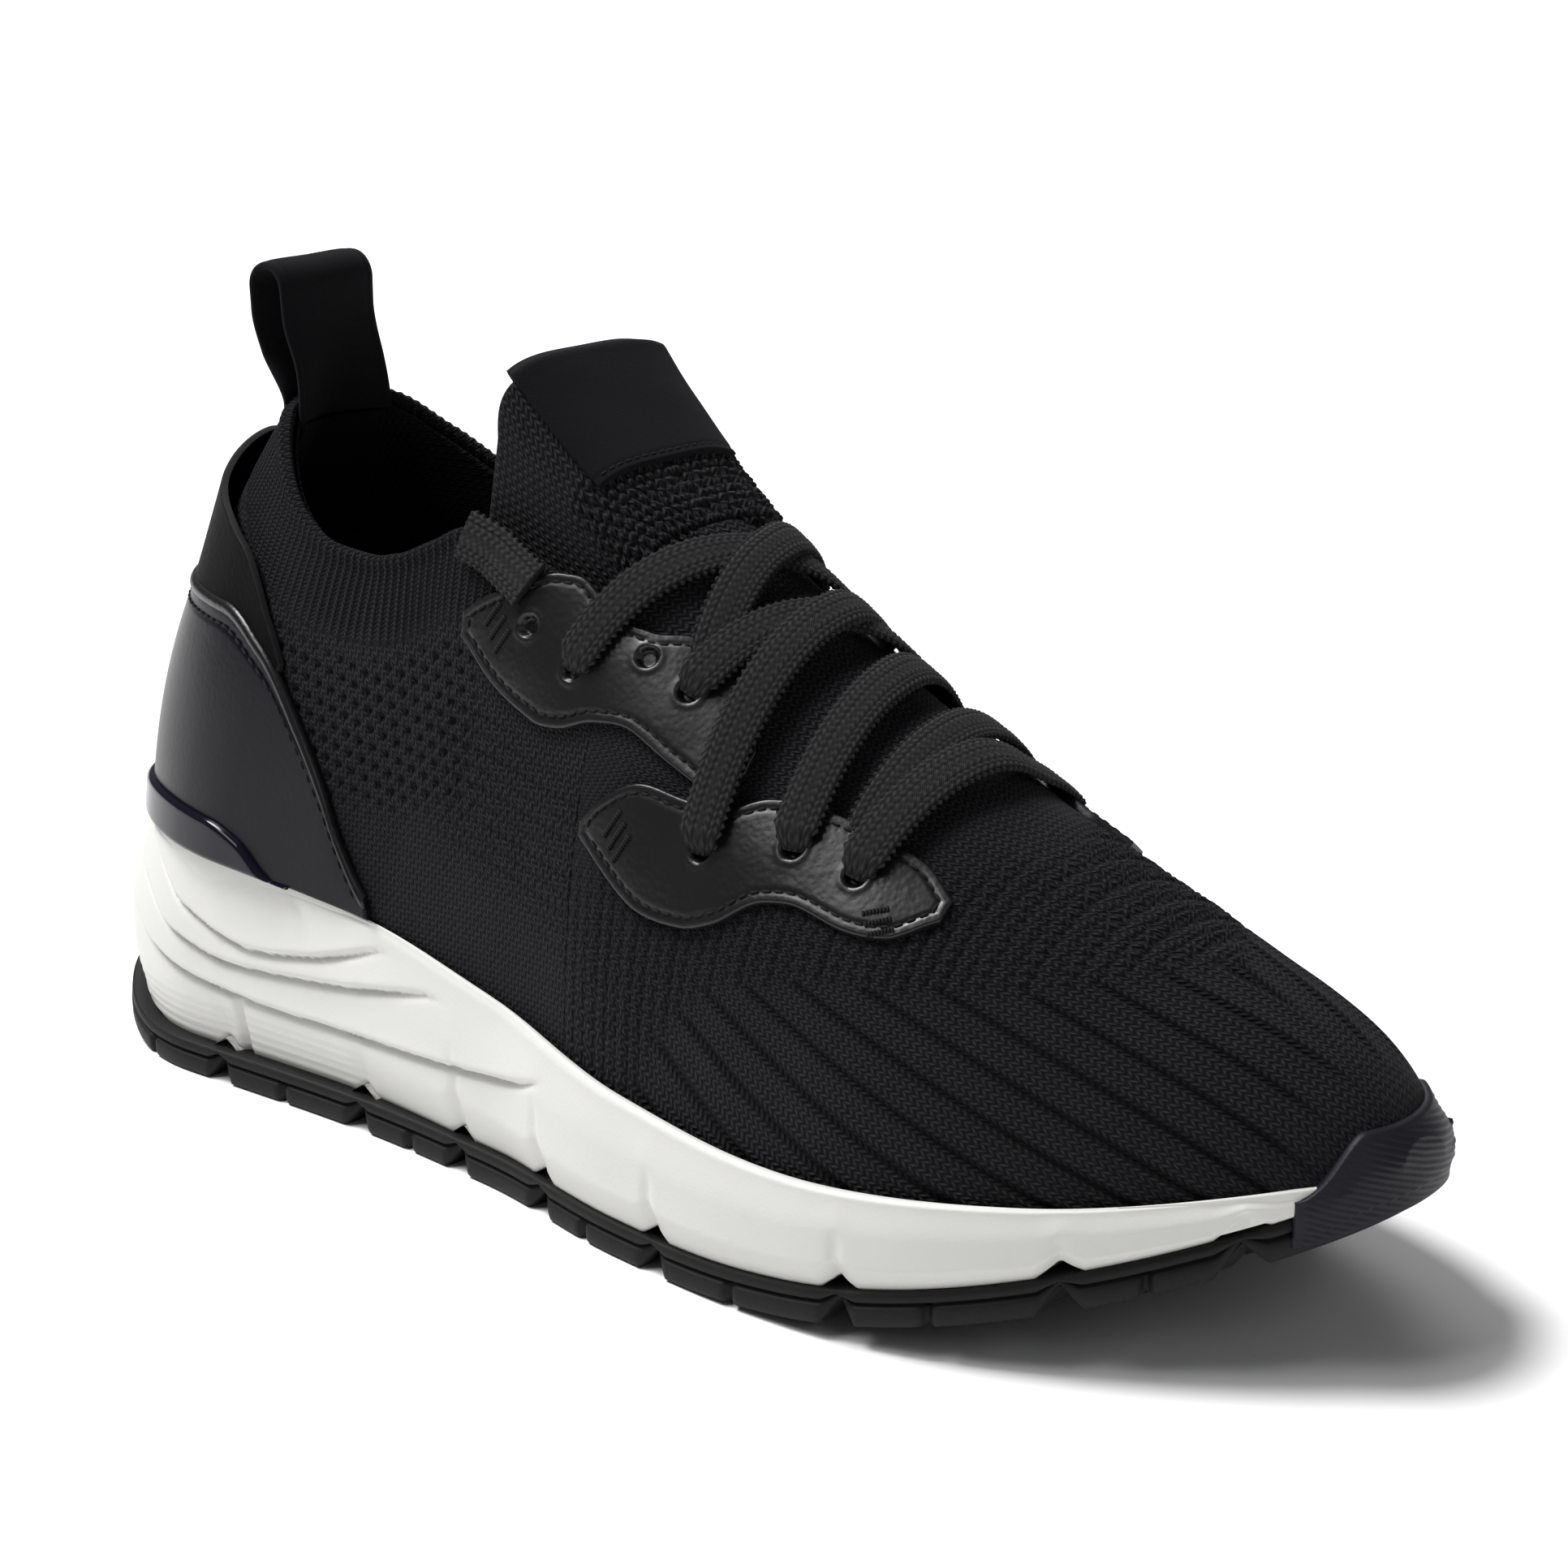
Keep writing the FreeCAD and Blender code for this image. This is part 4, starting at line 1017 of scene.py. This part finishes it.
def counter():
    def outer(u, t, edge):
        puff = 0.12 * ripple(u * REAR_SPAN, t * 50, 14.0, 2)
        seam = -0.22 * bump_at((1 - t) * 50 - 4.2, 0.5)
        return 0.1 + LEATHER_THICK * rounded(edge) + puff + seam * (np.abs(u) < 0.64)

    piece = rear_patch("heel_counter_leather", COUNTER_SHARE, rim_height, counter_height, outer,
                       lambda u, t, e: 0.05 + 0 * u)
    dress(piece, "counter", replaces=["heel_counter"])
    binding = rear_patch("heel_counter_edge", COUNTER_SHARE, lambda u: counter_height(u, -2.4),
                         lambda u: counter_height(u, 0.3),
                         lambda u, t, e: 1.2 + 1.3 * np.sqrt(np.clip(1 - (2 * t - 1) ** 2, 0, 1)),
                         lambda u, t, e: 0.6 + 0 * u, 0.3)
    dress(binding, "leather", replaces=["heel_counter_binding"])
    u = np.linspace(-0.645, 0.645, 600)
    v = rear_v(u, counter_height(u, -4.4))
    out = rear_normal(u, v)
    seam = stitch_row("heel_counter_stitches", rear_point(u, v) + out * 1.55, out, 2.9, 2.1, 0.25)
    dress(seam, "thread")


def cuff():
    share = 0.42

    def top(u):
        return counter_height(u, 2.0 + 22 * (1 - np.clip(np.abs(u) / share, 0, 1) ** 1.6))

    def gap(u, t):
        return 0.3 + 4.2 * t ** 1.4 * (1 - np.clip(np.abs(u) / share, 0, 1) ** 1.5)

    piece = rear_patch("heel_cuff_leather", share, lambda u: counter_height(u, -1.0), top,
                       lambda u, t, e: gap(u, t) + 0.1 + LEATHER_THICK * rounded(e, 0.4),
                       lambda u, t, e: gap(u, t))
    return dress(piece, "cuff", replaces=["heel_cuff"])


def clip():
    piece = rear_patch("heel_clip_gloss", 0.5, rim_height, lambda u: smooth(CLIP_TOP, wall_x(u)),
                       lambda u, t, e: LEATHER_THICK + 0.15 + CLIP_THICK * rounded(e, 1.2),
                       lambda u, t, e: LEATHER_THICK + 0.05 + 0 * u, 0.5)
    return dress(piece, "gloss", replaces=["heel_clip"])


def heel_inside():
    def ribs(u, t, edge):
        return -3.1 + 0.12 * np.sin(2 * np.pi * u * REAR_SPAN / 2.4)

    def inner(u, t, edge):
        return -3.9 + 0.14 * np.sin(2 * np.pi * u * REAR_SPAN / 2.4) + 0.7 * (1 - rounded(edge, 0.8))

    lining = rear_patch("heel_lining_knit", 0.78, lambda u: rear_point(u, 0.13 + 0 * u)[..., 2],
                        lambda u: rear_point(u, 0.985 + 0 * u)[..., 2], ribs, inner)
    dress(lining, "lining", replaces=["heel_lining"])
    patch = rear_patch("heel_patch_suede", 0.17, lambda u: rear_point(u, 0.62 + 2.6 * u ** 2)[..., 2],
                       lambda u: rear_point(u, 0.98 + 0 * u)[..., 2],
                       lambda u, t, e: -3.92 + 0 * u, lambda u, t, e: -4.0 - 1.2 * rounded(e, 0.5))
    dress(patch, "suede", replaces=["heel_lining_patch"])
    u = np.linspace(-0.155, 0.155, 200)
    v = 0.62 + 2.6 * u ** 2 + 0.02
    out = -rear_normal(u, v)
    seam = stitch_row("heel_patch_stitches", rear_point(u, v) + out * 5.2, out, 2.4, 1.7, 0.22)
    dress(seam, "thread")


counter()
cuff()
clip()
heel_inside()


# Eyestays -----------------------------------------------------------------------------------------
UPPER_LOW = ((-29, 31), (-21, 30), (-10, 32), (-4, 35), (4, 41), (12, 45), (21, 46), (31, 48), (34, 54))
UPPER_HIGH = ((-29, 34), (-19, 44), (-10, 54), (-5, 57), (1, 57), (9, 60), (17, 66), (24, 67), (30, 63),
              (34, 58))
LOWER_LOW = ((5, 27), (18, 26), (30, 29), (37, 33), (45, 40), (52, 43), (60, 44), (68, 47), (75, 55))
LOWER_HIGH = ((5, 29), (9, 34), (17, 41), (25, 44), (32, 47), (40, 54), (47, 58), (56, 61), (68, 63),
              (75, 60))
MEDIAL_SHIFT = 3.0
SEAM_INSET = 1.9


def on_side(surface, x, angle, side):
    """Point or normal at a lateral place, carried over to the medial side where side is 1."""
    if side < 0:
        return surface(x, angle)
    return surface(x + MEDIAL_SHIFT, 180 - angle)


def slope_of(x, angle):
    """How much of an edge line's direction runs along the shoe, 0 to 1."""
    step = np.gradient(arch_point(x, angle), axis=0)
    return np.abs(step[:, 0]) / np.linalg.norm(step, axis=-1)


def eyestay_leather(name, node, low, high, holes_at, side):
    """Leather with a rounded edge, a sunk seam and punched holes. Returns the lines its seam follows."""
    span = high[-1][0] - high[0][0]
    x = high[0][0] + edged(span * 1.2, 0.5) * span
    bottom, top = smooth(low, x), smooth(high, x)
    wide = np.linalg.norm(arch_point(x, top) - arch_point(x, bottom), axis=-1)
    t = edged(float(np.max(wide)), 0.5)
    xx, tt = np.meshgrid(x, t, indexing="ij")
    angle = bottom[:, None] + (top - bottom)[:, None] * tt
    points = on_side(arch_point, xx, angle, side)
    out = on_side(arch_normal, xx, angle, side)
    gone = arc_length(points, 0)
    slope_low, slope_high = slope_of(x, bottom), slope_of(x, top)
    from_low = tt * wide[:, None] * slope_low[:, None]
    from_high = (1 - tt) * wide[:, None] * slope_high[:, None]
    edge = np.minimum(from_low, from_high)
    edge = np.minimum(edge, np.minimum(gone, gone[-1][None, :] - gone))
    relief = 0.12 + LEATHER_THICK * rounded(edge, 0.45) - 0.2 * bump_at(edge - SEAM_INSET, 0.35)
    relief += 0.08 * ripple(points[..., 0], points[..., 2], 4.0, 3) * ease(edge / 2)
    mark = (edge < 0.3) * 1.0
    for hole_x, hole_angle in holes_at:
        far = np.linalg.norm(points - on_side(arch_point, hole_x, hole_angle, side), axis=-1)
        relief += 0.16 * bump_at(far - 2.6, 0.5) - 1.5 * (1 - ease((far - 1.5) / 0.5))
        # mark -1 paints near-black shade into the punched hole.
        mark = np.where(far < 1.7, -1.0, mark)
    cloth = np.stack([gone, tt * wide[:, None], mark], -1)
    piece = shell(name, points + out * np.maximum(relief, 0.12)[..., None], points + out * 0.1, cloth)
    dress(piece, "leather", replaces=[node])
    return x, gone[:, 0], wide, (bottom, slope_low), (top, slope_high)


def eyestay_seam(name, side, x, gone, wide, low, high):
    """Line of stitches inside the whole outline."""
    keep = (gone > SEAM_INSET * 1.3) & (gone[-1] - gone > SEAM_INSET * 1.3)
    turn_per_mm = (high[0] - low[0]) / np.maximum(wide, 0.1)
    middle = (low[0] + high[0]) / 2
    lanes = []
    for (edge_line, slope), wanted in ((low, 1), (high, -1)):
        lane = edge_line + wanted * turn_per_mm * SEAM_INSET / np.maximum(slope, 0.35)
        lanes.append(np.where(wanted * (lane - middle) > 0, middle, lane)[keep])
    kept = x[keep]
    line_x = np.concatenate([kept, kept[::-1], kept[:1]])
    line_angle = np.concatenate([lanes[0], lanes[1][::-1], lanes[0][:1]])
    path = on_side(arch_point, line_x, line_angle, side)
    out = on_side(arch_normal, line_x, line_angle, side)
    dress(stitch_row(name + "_stitches", path + out * 1.5, out, 2.3, 1.7, 0.25), "thread")


def eyestay_tacks(name, tacks, side):
    """Three short bars of thread at each (x, angle, step in x, step in angle)."""
    place = np.linspace(-1.2, 1.2, 14)
    for number, (x, angle, step_x, step_angle) in enumerate(tacks):
        for lane in (-1, 0, 1):
            bar_x = x + step_x * place + 0.65 * step_angle * lane
            bar_angle = angle + step_angle * place - 0.65 * step_x * lane
            bar = on_side(arch_point, bar_x, bar_angle, side)
            out = on_side(arch_normal, bar_x, bar_angle, side)
            tack = stitch_row(f"{name}_tack_{number}_{lane + 1}", bar + out * 1.65, out, 0.6, 1.1, 0.3, True)
            dress(tack, "thread")


def eyestay(node, low, high, holes_at, tacks, side):
    name = node + "_leather"
    lines = eyestay_leather(name, node, low, high, holes_at, side)
    eyestay_seam(name, side, *lines)
    eyestay_tacks(name, tacks, side)


UPPER_HOLES = ((-3, 44), (19, 57), (-14, 42), (10, 56))
LOWER_HOLES = ((31, 40), (47, 50), (59, 53))
UPPER_TACKS = ((-20.5, 37, 1.2, 2.2), (29, 54, 1.9, 1.9))
LOWER_TACKS = ((14, 32, 1.2, 2.2), (66, 49, 1.9, 1.7))
for side, word in ((-1, "lateral"), (1, "medial")):
    eyestay(f"eyestay_{word}_upper", UPPER_LOW, UPPER_HIGH, UPPER_HOLES, UPPER_TACKS, side)
    eyestay(f"eyestay_{word}_lower", LOWER_LOW, LOWER_HIGH, LOWER_HOLES, LOWER_TACKS, side)


# Laces and webbing --------------------------------------------------------------------------------
def braid(along, across):
    """Height of a flat herringbone braid, 0 to 1."""
    column = across / 0.95
    lane = np.floor(column)
    inside = column - lane
    lean = np.where(lane % 2 > 0, 0.75, -0.75)
    strand = 0.5 + 0.5 * np.cos(2 * np.pi * (along / 1.5 + lean * inside * 0.6 + 0.25 * (lane % 2)))
    return np.sin(np.pi * inside) ** 0.5 * (0.25 + 0.75 * strand ** 0.8)


BAND_TAPER = 4.0
BRAID_STITCH = 1.5


def blurred(values):
    """Values along a path, smoothed, with both ends kept in place."""
    kernel = np.hanning(81)
    kernel /= kernel.sum()
    before = 2 * values[0] - values[40:0:-1]
    after = 2 * values[-1] - values[-2:-42:-1]
    return np.convolve(np.concatenate([before, values, after]), kernel, "valid")


def band_path(path, heights):
    """Points, normals and heights of a smooth run over the upper through (x, angle) points."""
    fine = np.linspace(0, len(path) - 1, 400)
    knots = np.arange(len(path))
    rows = ([x for x, _ in path], [angle for _, angle in path], heights)
    xs, angles, lift = [blurred(np.interp(fine, knots, row)) for row in rows]
    return arch_point(xs, angles), arch_normal(xs, angles), lift


def band(name, path, heights, width, thick, depth, ends=(1.0, 1.0), dive=(0.0, 0.0)):
    """Flat braided band over the upper along (x, angle) points, at heights above it."""
    centre, out, lift = band_path(path, heights)
    gone = arc_length(centre[None], 1)[0]
    places = np.linspace(0, gone[-1], int(gone[-1] / 0.28))
    to_end = gone[-1] - places
    start_share = ends[0] + (1 - ends[0]) * ease(places / BAND_TAPER)
    share = np.minimum(start_share, ends[1] + (1 - ends[1]) * ease(to_end / BAND_TAPER))
    sink = dive[0] * (1 - ease(places / 3.2)) + dive[1] * (1 - ease(to_end / 3.2))
    up = unit(along_path(places, gone, out))
    centre = along_path(places, gone, centre) + up * (np.interp(places, gone, lift) - sink)[:, None]
    ahead = unit(np.gradient(centre, axis=0))
    across = unit(np.cross(ahead, up))
    up = unit(np.cross(across, ahead))
    turn = np.linspace(0, 2 * np.pi, 72, endpoint=False)
    flat = squared_off(np.cos(turn), 0.75)
    face = squared_off(np.sin(turn), 0.55)
    side = flat[None, :] * width / 2 * share[:, None]
    crown = 0.28 * (1 - flat[None, :] ** 2) / share[:, None] ** 2
    tall = face[None, :] * thick / 2 + crown * 0.6
    pattern = braid(places[:, None] + 0 * side, flat[None, :] * width / 2 + 40)
    tall = tall + np.sign(face)[None, :] * depth * (pattern - 0.5) * (np.abs(face)[None, :] > 0.5)
    selvedge = (np.abs(face) <= 0.5)[None, :] * depth * 0.8
    selvedge = selvedge * np.sin(2 * np.pi * places[:, None] / BRAID_STITCH)
    points = centre[:, None, :] + across[:, None, :] * (side + np.sign(flat)[None, :] * selvedge)[..., None]
    points = points + up[:, None, :] * (tall + thick / 2)[..., None]
    # The strand height goes in as mark, which the braid material turns into painted shade.
    cloth = np.stack([places[:, None] + 0 * side, side, pattern], -1)
    return loops(name, closed_ends(points), np.concatenate([cloth[:1], cloth, cloth[-1:]]))


LACE_WIDTH, LACE_THICK = 8.0, 1.5
STRAP_WIDTH, STRAP_THICK = 9.2, 1.5
STRAP_PATHS = {
    "lateral": ((-15, 47), (-24, 45), (-31, 42.5)),
    "medial": ((-13, 133), (-22, 135), (-30, 137.5)),
}
# Each run: points over the upper, heights above it, and whether each end goes down a hole
LACE_RUNS = (
    (((59, 53), (62, 90), (63, 108), (62, 127)), (2.2, 3.5, 0.9, 1.7), (True, True)),
    (((50, 130), (55, 90), (57, 60)), (2.0, 2.0, 0.4), (True, False)),
    (((47, 50), (42, 90), (36, 123), (34, 140)), (2.2, 2.1, 1.9, 1.9), (True, True)),
    (((31, 40), (28, 90), (25, 109), (22, 123)), (2.4, 3.8, 2.4, 2.0), (True, True)),
    (((19, 57), (27, 90), (33, 122), (34, 140)), (2.2, 1.9, 2.2, 1.9), (True, True)),
    (((0, 136), (4, 127), (13, 90), (18.5, 68), (21, 60)), (2.0, 2.4, 3.5, 1.2, -1.2), (True, False)),
    (((-3, 44), (12, 90), (22, 123)), (2.0, 1.8, 1.8), (True, True)),
)


def laces():
    for number, (path, heights, in_hole) in enumerate(LACE_RUNS):
        ends = [0.55 if hole else 0.95 for hole in in_hole]
        dive = [height + 0.4 if hole else 0.3 for height, hole in zip((heights[0], heights[-1]), in_hole)]
        piece = band(f"lace_run_{number + 1}", path, heights, LACE_WIDTH, LACE_THICK, 0.44, ends, dive)
        dress(piece, "braid", replaces=["shoelace"])


def straps():
    heights = (LEATHER_THICK + 0.4, 0.4, 0.8)
    for word, path in STRAP_PATHS.items():
        piece = band(f"strap_{word}_webbing", path, heights, STRAP_WIDTH, STRAP_THICK, 0.4)
        dress(piece, "braid", replaces=[f"webbing_strap_{word}"])


laces()
straps()


# Tongue -------------------------------------------------------------------------------------------
TONGUE_TOP, TONGUE_FOOT = -29.0, 0.4
TONGUE_HALF, TONGUE_DROP, CROWN_POWER = 24.0, 13.0, 0.6
TONGUE_THICK = 2.2
PAD_BACK, PAD_FRONT = -27.5, -3.6
PATCH_FOOT, PATCH_HALF, PATCH_SEAM = -9.5, 19.5, -10.9
PATCH_FACE, PATCH_FOLD, PATCH_BACK = 60, 6, 14


def tongue_point(x, turn, depth):
    """Arch of the tongue at x, rolled down at its sides, turn 0 (lateral) to 180 (medial)."""
    share = (x - TONGUE_TOP) / (TONGUE_FOOT - TONGUE_TOP)
    theta = np.radians(turn)
    side = np.where(np.asarray(turn) < 90, -1, 1)
    half = TONGUE_HALF - 3.5 * share - depth
    y = side * half * np.abs(np.cos(theta)) ** CROWN_POWER
    drop = (TONGUE_DROP - depth) * (1 - np.abs(np.sin(theta)) ** CROWN_POWER)
    top = smooth(RIDGE, x) + 0.4
    return np.stack([x - 0.66 * depth + 0 * y, y, top - drop - 0.75 * depth], -1)


def tongue_knit():
    """Knitted flap with side skirts, bent at its foot by the hinge."""
    x = np.concatenate([np.linspace(-29, -27, 8), np.linspace(-26.6, 6.0, 96)])
    skirt = np.linspace(1, 0, 24, endpoint=False)
    turn = np.concatenate([0 * skirt, np.linspace(0, 180, 220), 180 + 0 * skirt])
    fall = np.concatenate([skirt, np.zeros(220), skirt[::-1]])
    xx, rr = np.meshgrid(x, turn, indexing="ij")
    hang = np.minimum(smooth(RIDGE, x) - TONGUE_DROP - smooth(COLLAR_Z, x) + 9, 22) * ease((8 - x) / 10)
    length = np.maximum(hang, 0)[:, None] * fall[None, :]

    def draped(depth):
        shape = tongue_point(xx, np.clip(rr, 0, 180), depth)
        shape[..., 0] -= 0.12 * length
        shape[..., 1] += np.sign(rr - 90) * 0.06 * length
        shape[..., 2] -= length
        return shape

    points = draped(0.0)
    around = arc_length(points, 1)
    around = around - around[:, 134][:, None]
    down = arc_length(points, 0)
    honey = ease((xx + 14) / 3) * ease((30 - np.abs(around)) / 6)
    cell_a, cell_b = around / 2.5, down / 2.1
    comb = np.abs(np.sin(np.pi * (cell_a + 0.5 * (np.floor(cell_b) % 2))))
    comb = comb * np.abs(np.sin(np.pi * cell_b)) ** 0.7
    edge = np.minimum((xx + 29) * 1.45, np.minimum(around - around[:, :1], around[:, -1:] - around))
    sunk = 1.6 * ease((xx - 1.5) / 4)
    relief = honey * (1.2 * comb - 0.6) + 0.05 * ripple(around, down, 2.2, 5)
    relief = relief * ease(edge / 1.5) - (1 - rounded(edge, 1.0)) * 1.0 - sunk
    outer = draped(-relief)
    inner = draped(TONGUE_THICK - (1 - rounded(edge, 1.0)) * 1.0 + sunk)
    cloth = np.stack([down, around, 0 * xx], -1)
    piece = shell("tongue_knit", outer, inner, cloth)
    dress(piece, "knit_tongue", None, ["tongue_flap"])
    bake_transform(piece)


def tongue_padding():
    """Crowned cushion under the flap."""
    x, turn = np.meshgrid(np.linspace(PAD_BACK, PAD_FRONT, 44), np.linspace(0, 180, 90), indexing="ij")
    plump = rounded(np.minimum(x - PAD_BACK, np.minimum(turn, 180 - turn) * 0.3), 4.0)
    plump = plump * rounded(np.clip(PAD_FRONT - x, 0, 99), 4.0)
    cloth = np.stack([x * 1.4, turn * 0.4, 0 * x], -1)
    crown = tongue_point(x, turn, 2.3 + 3.0 * plump)
    pad = shell("tongue_padding", tongue_point(x, turn, 2.25 + 0 * x), crown, cloth)
    dress(pad, "lining", "tongue", ["tongue_pad"])


def folded(face, fold, back):
    """Values down the patch's face, around its fold and down its back, from a (first, last) of each."""
    parts = ((face, PATCH_FACE), (fold, PATCH_FOLD), (back, PATCH_BACK))
    return np.concatenate([np.linspace(*ends, count) for ends, count in parts])


def tongue_patch():
    """Suede folded over the tongue's top edge, with a seam along its foot."""
    fold_x = folded((PATCH_FOOT, -28.6), (-29.2, -30.6), (-30.4, -22))
    fold_out = folded((-1.2, -1.2), (-1.1, 1.2), (2.6, 3.5))
    fold_in = folded((-0.1, -0.1), (0.2, 0.9), (2.25, 2.3))
    inner_x = folded((PATCH_FOOT, -28.4), (-28.7, -29.2), (-29.0, -22))
    first = np.degrees(np.arccos((PATCH_HALF / TONGUE_HALF) ** (1 / CROWN_POWER)))
    x, turn = np.meshgrid(fold_x, np.linspace(first, 180 - first, 110), indexing="ij")
    run = arc_length(tongue_point(x, turn, 0.0), 1)
    on_face = (np.arange(len(fold_x)) < PATCH_FACE)[:, None]
    foot_edge = np.abs(x - PATCH_FOOT) * 1.4 + ~on_face * 50
    soft = rounded(np.minimum(np.minimum(run, run[:, -1:] - run), foot_edge), 0.5)
    depth_out = fold_in[:, None] + (fold_out - fold_in)[:, None] * (0.1 + 0.9 * soft)
    depth_out = depth_out + 0.16 * bump_at(foot_edge - 2.0, 0.4) * on_face
    depth_out = depth_out + 0.12 * ripple(x * 1.4, run, 5.0, 7) * soft
    inner = tongue_point(np.broadcast_to(inner_x[:, None], x.shape), turn, fold_in[:, None] + 0 * x)
    patch = shell("tongue_patch_suede", tongue_point(x, turn, depth_out), inner)
    dress(patch, "suede", "tongue", ["tongue_patch"])
    seam_turn = np.linspace(first + 3, 177 - first, 160)
    line = tongue_point(PATCH_SEAM + 0 * seam_turn, seam_turn, -1.12)
    out = unit(tongue_point(PATCH_SEAM + 0 * seam_turn, seam_turn, -2.0) - line)
    seam = stitch_row("tongue_patch_stitches", line, out, 2.2, 1.6, 0.22)
    dress(seam, "thread", "tongue")


tongue_knit()
tongue_padding()
tongue_patch()


# Pull loop ----------------------------------------------------------------------------------------
LOOP_BACK, LOOP_FRONT, LOOP_SHOULDER, LOOP_FOOT = -108.0, -99.0, 154.4, 129.0
LOOP_HALF = 12.0


def pull_loop():
    middle, radius = (LOOP_BACK + LOOP_FRONT) / 2, (LOOP_FRONT - LOOP_BACK) / 2
    turn = np.linspace(0, np.pi, 40)
    up = np.linspace(LOOP_FOOT, LOOP_SHOULDER, 40)
    x = np.concatenate([LOOP_FRONT + 0 * up, middle + radius * np.cos(turn[1:-1]), LOOP_BACK + 0 * up])
    z = np.concatenate([up, LOOP_SHOULDER + radius * 1.02 * np.sin(turn[1:-1]), up[::-1]])
    low_down = ease((142 - z) / 10)
    x = x + np.where(x > middle, -1.2 * low_down, 3.4 * low_down)
    path = np.stack([x, 0 * x, z], -1)
    along = unit(np.gradient(path, axis=0))
    out = np.stack([along[:, 2], 0 * x, -along[:, 0]], -1)
    ring = np.linspace(0, 2 * np.pi, 64, endpoint=False)
    flat = squared_off(np.cos(ring), 0.5)
    thick = squared_off(np.sin(ring), 0.6)
    gone = arc_length(path[None], 1)[0]
    half = LOOP_HALF - 0.5 * bump_at(z - 140, 8)
    wave_y = 0.25 * ripple(gone[:, None], 0 * flat[None, :], 7.0, 9)
    side = flat[None, :] * half[:, None] + wave_y
    seam = 0.14 * bump_at(np.abs(flat[None, :]) * 12 - 10, 0.4)
    tall = thick[None, :] * (1.0 - seam) + 0.12 * ripple(gone[:, None], flat[None, :] * 12, 4.0, 4)
    points = path[:, None, :] + out[:, None, :] * tall[..., None]
    points[..., 1] = side
    around = np.sqrt(1 - np.clip(np.abs(side) / 30, 0, 1) ** (2 / 1.4))
    points[..., 0] += 37 * (1 - around) * ease((150 - z) / 18)[:, None]
    piece = loops("pull_loop_suede", closed_ends(points))
    dress(piece, "suede", None, ["pull_loop", "pull_loop_tails"])
    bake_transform(piece)


pull_loop()


# Inside of the sole -------------------------------------------------------------------------------
def insole():
    x, side = ring_stations(UPPER_HEEL + 7, UPPER_TOE - 9)
    ring, out = plan_ring(x, side, np.maximum(0.3, upper_half(x, side) - KNIT_THICK - 2.3))
    low = base_z(x) + 2.05
    rows = centre_rows(ring, low, np.linspace(0, 1, 5))
    for share in (0.1, 0.5, 0.9):
        rows.append(ring_row(ring + out * 0.3 * np.sin(np.pi * share), low + 4.3 * share))
    middle = axis_y(x)
    for share in np.linspace(0.985, 0, 24):
        y = middle + (ring[:, 1] - middle) * share
        cup = 1.6 * ease((share - 0.6) / 0.4) * (1 - ease((x - 20) / 60))
        arch = 2.0 * ease(share) * bump_at(x + 20, 35) * (side > 0)
        rows.append(ring_row(np.stack([x, y], -1), low + 4.4 + cup + arch))
    return dress(loops("insole_cushion", np.array(rows)), "insole", replaces=["insole"])


insole()
for node in ("strobel_board", "heel_stiffener", "toe_puff"):
    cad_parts[node].data.materials.clear()
    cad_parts[node].data.materials.append(MATERIALS["board"])
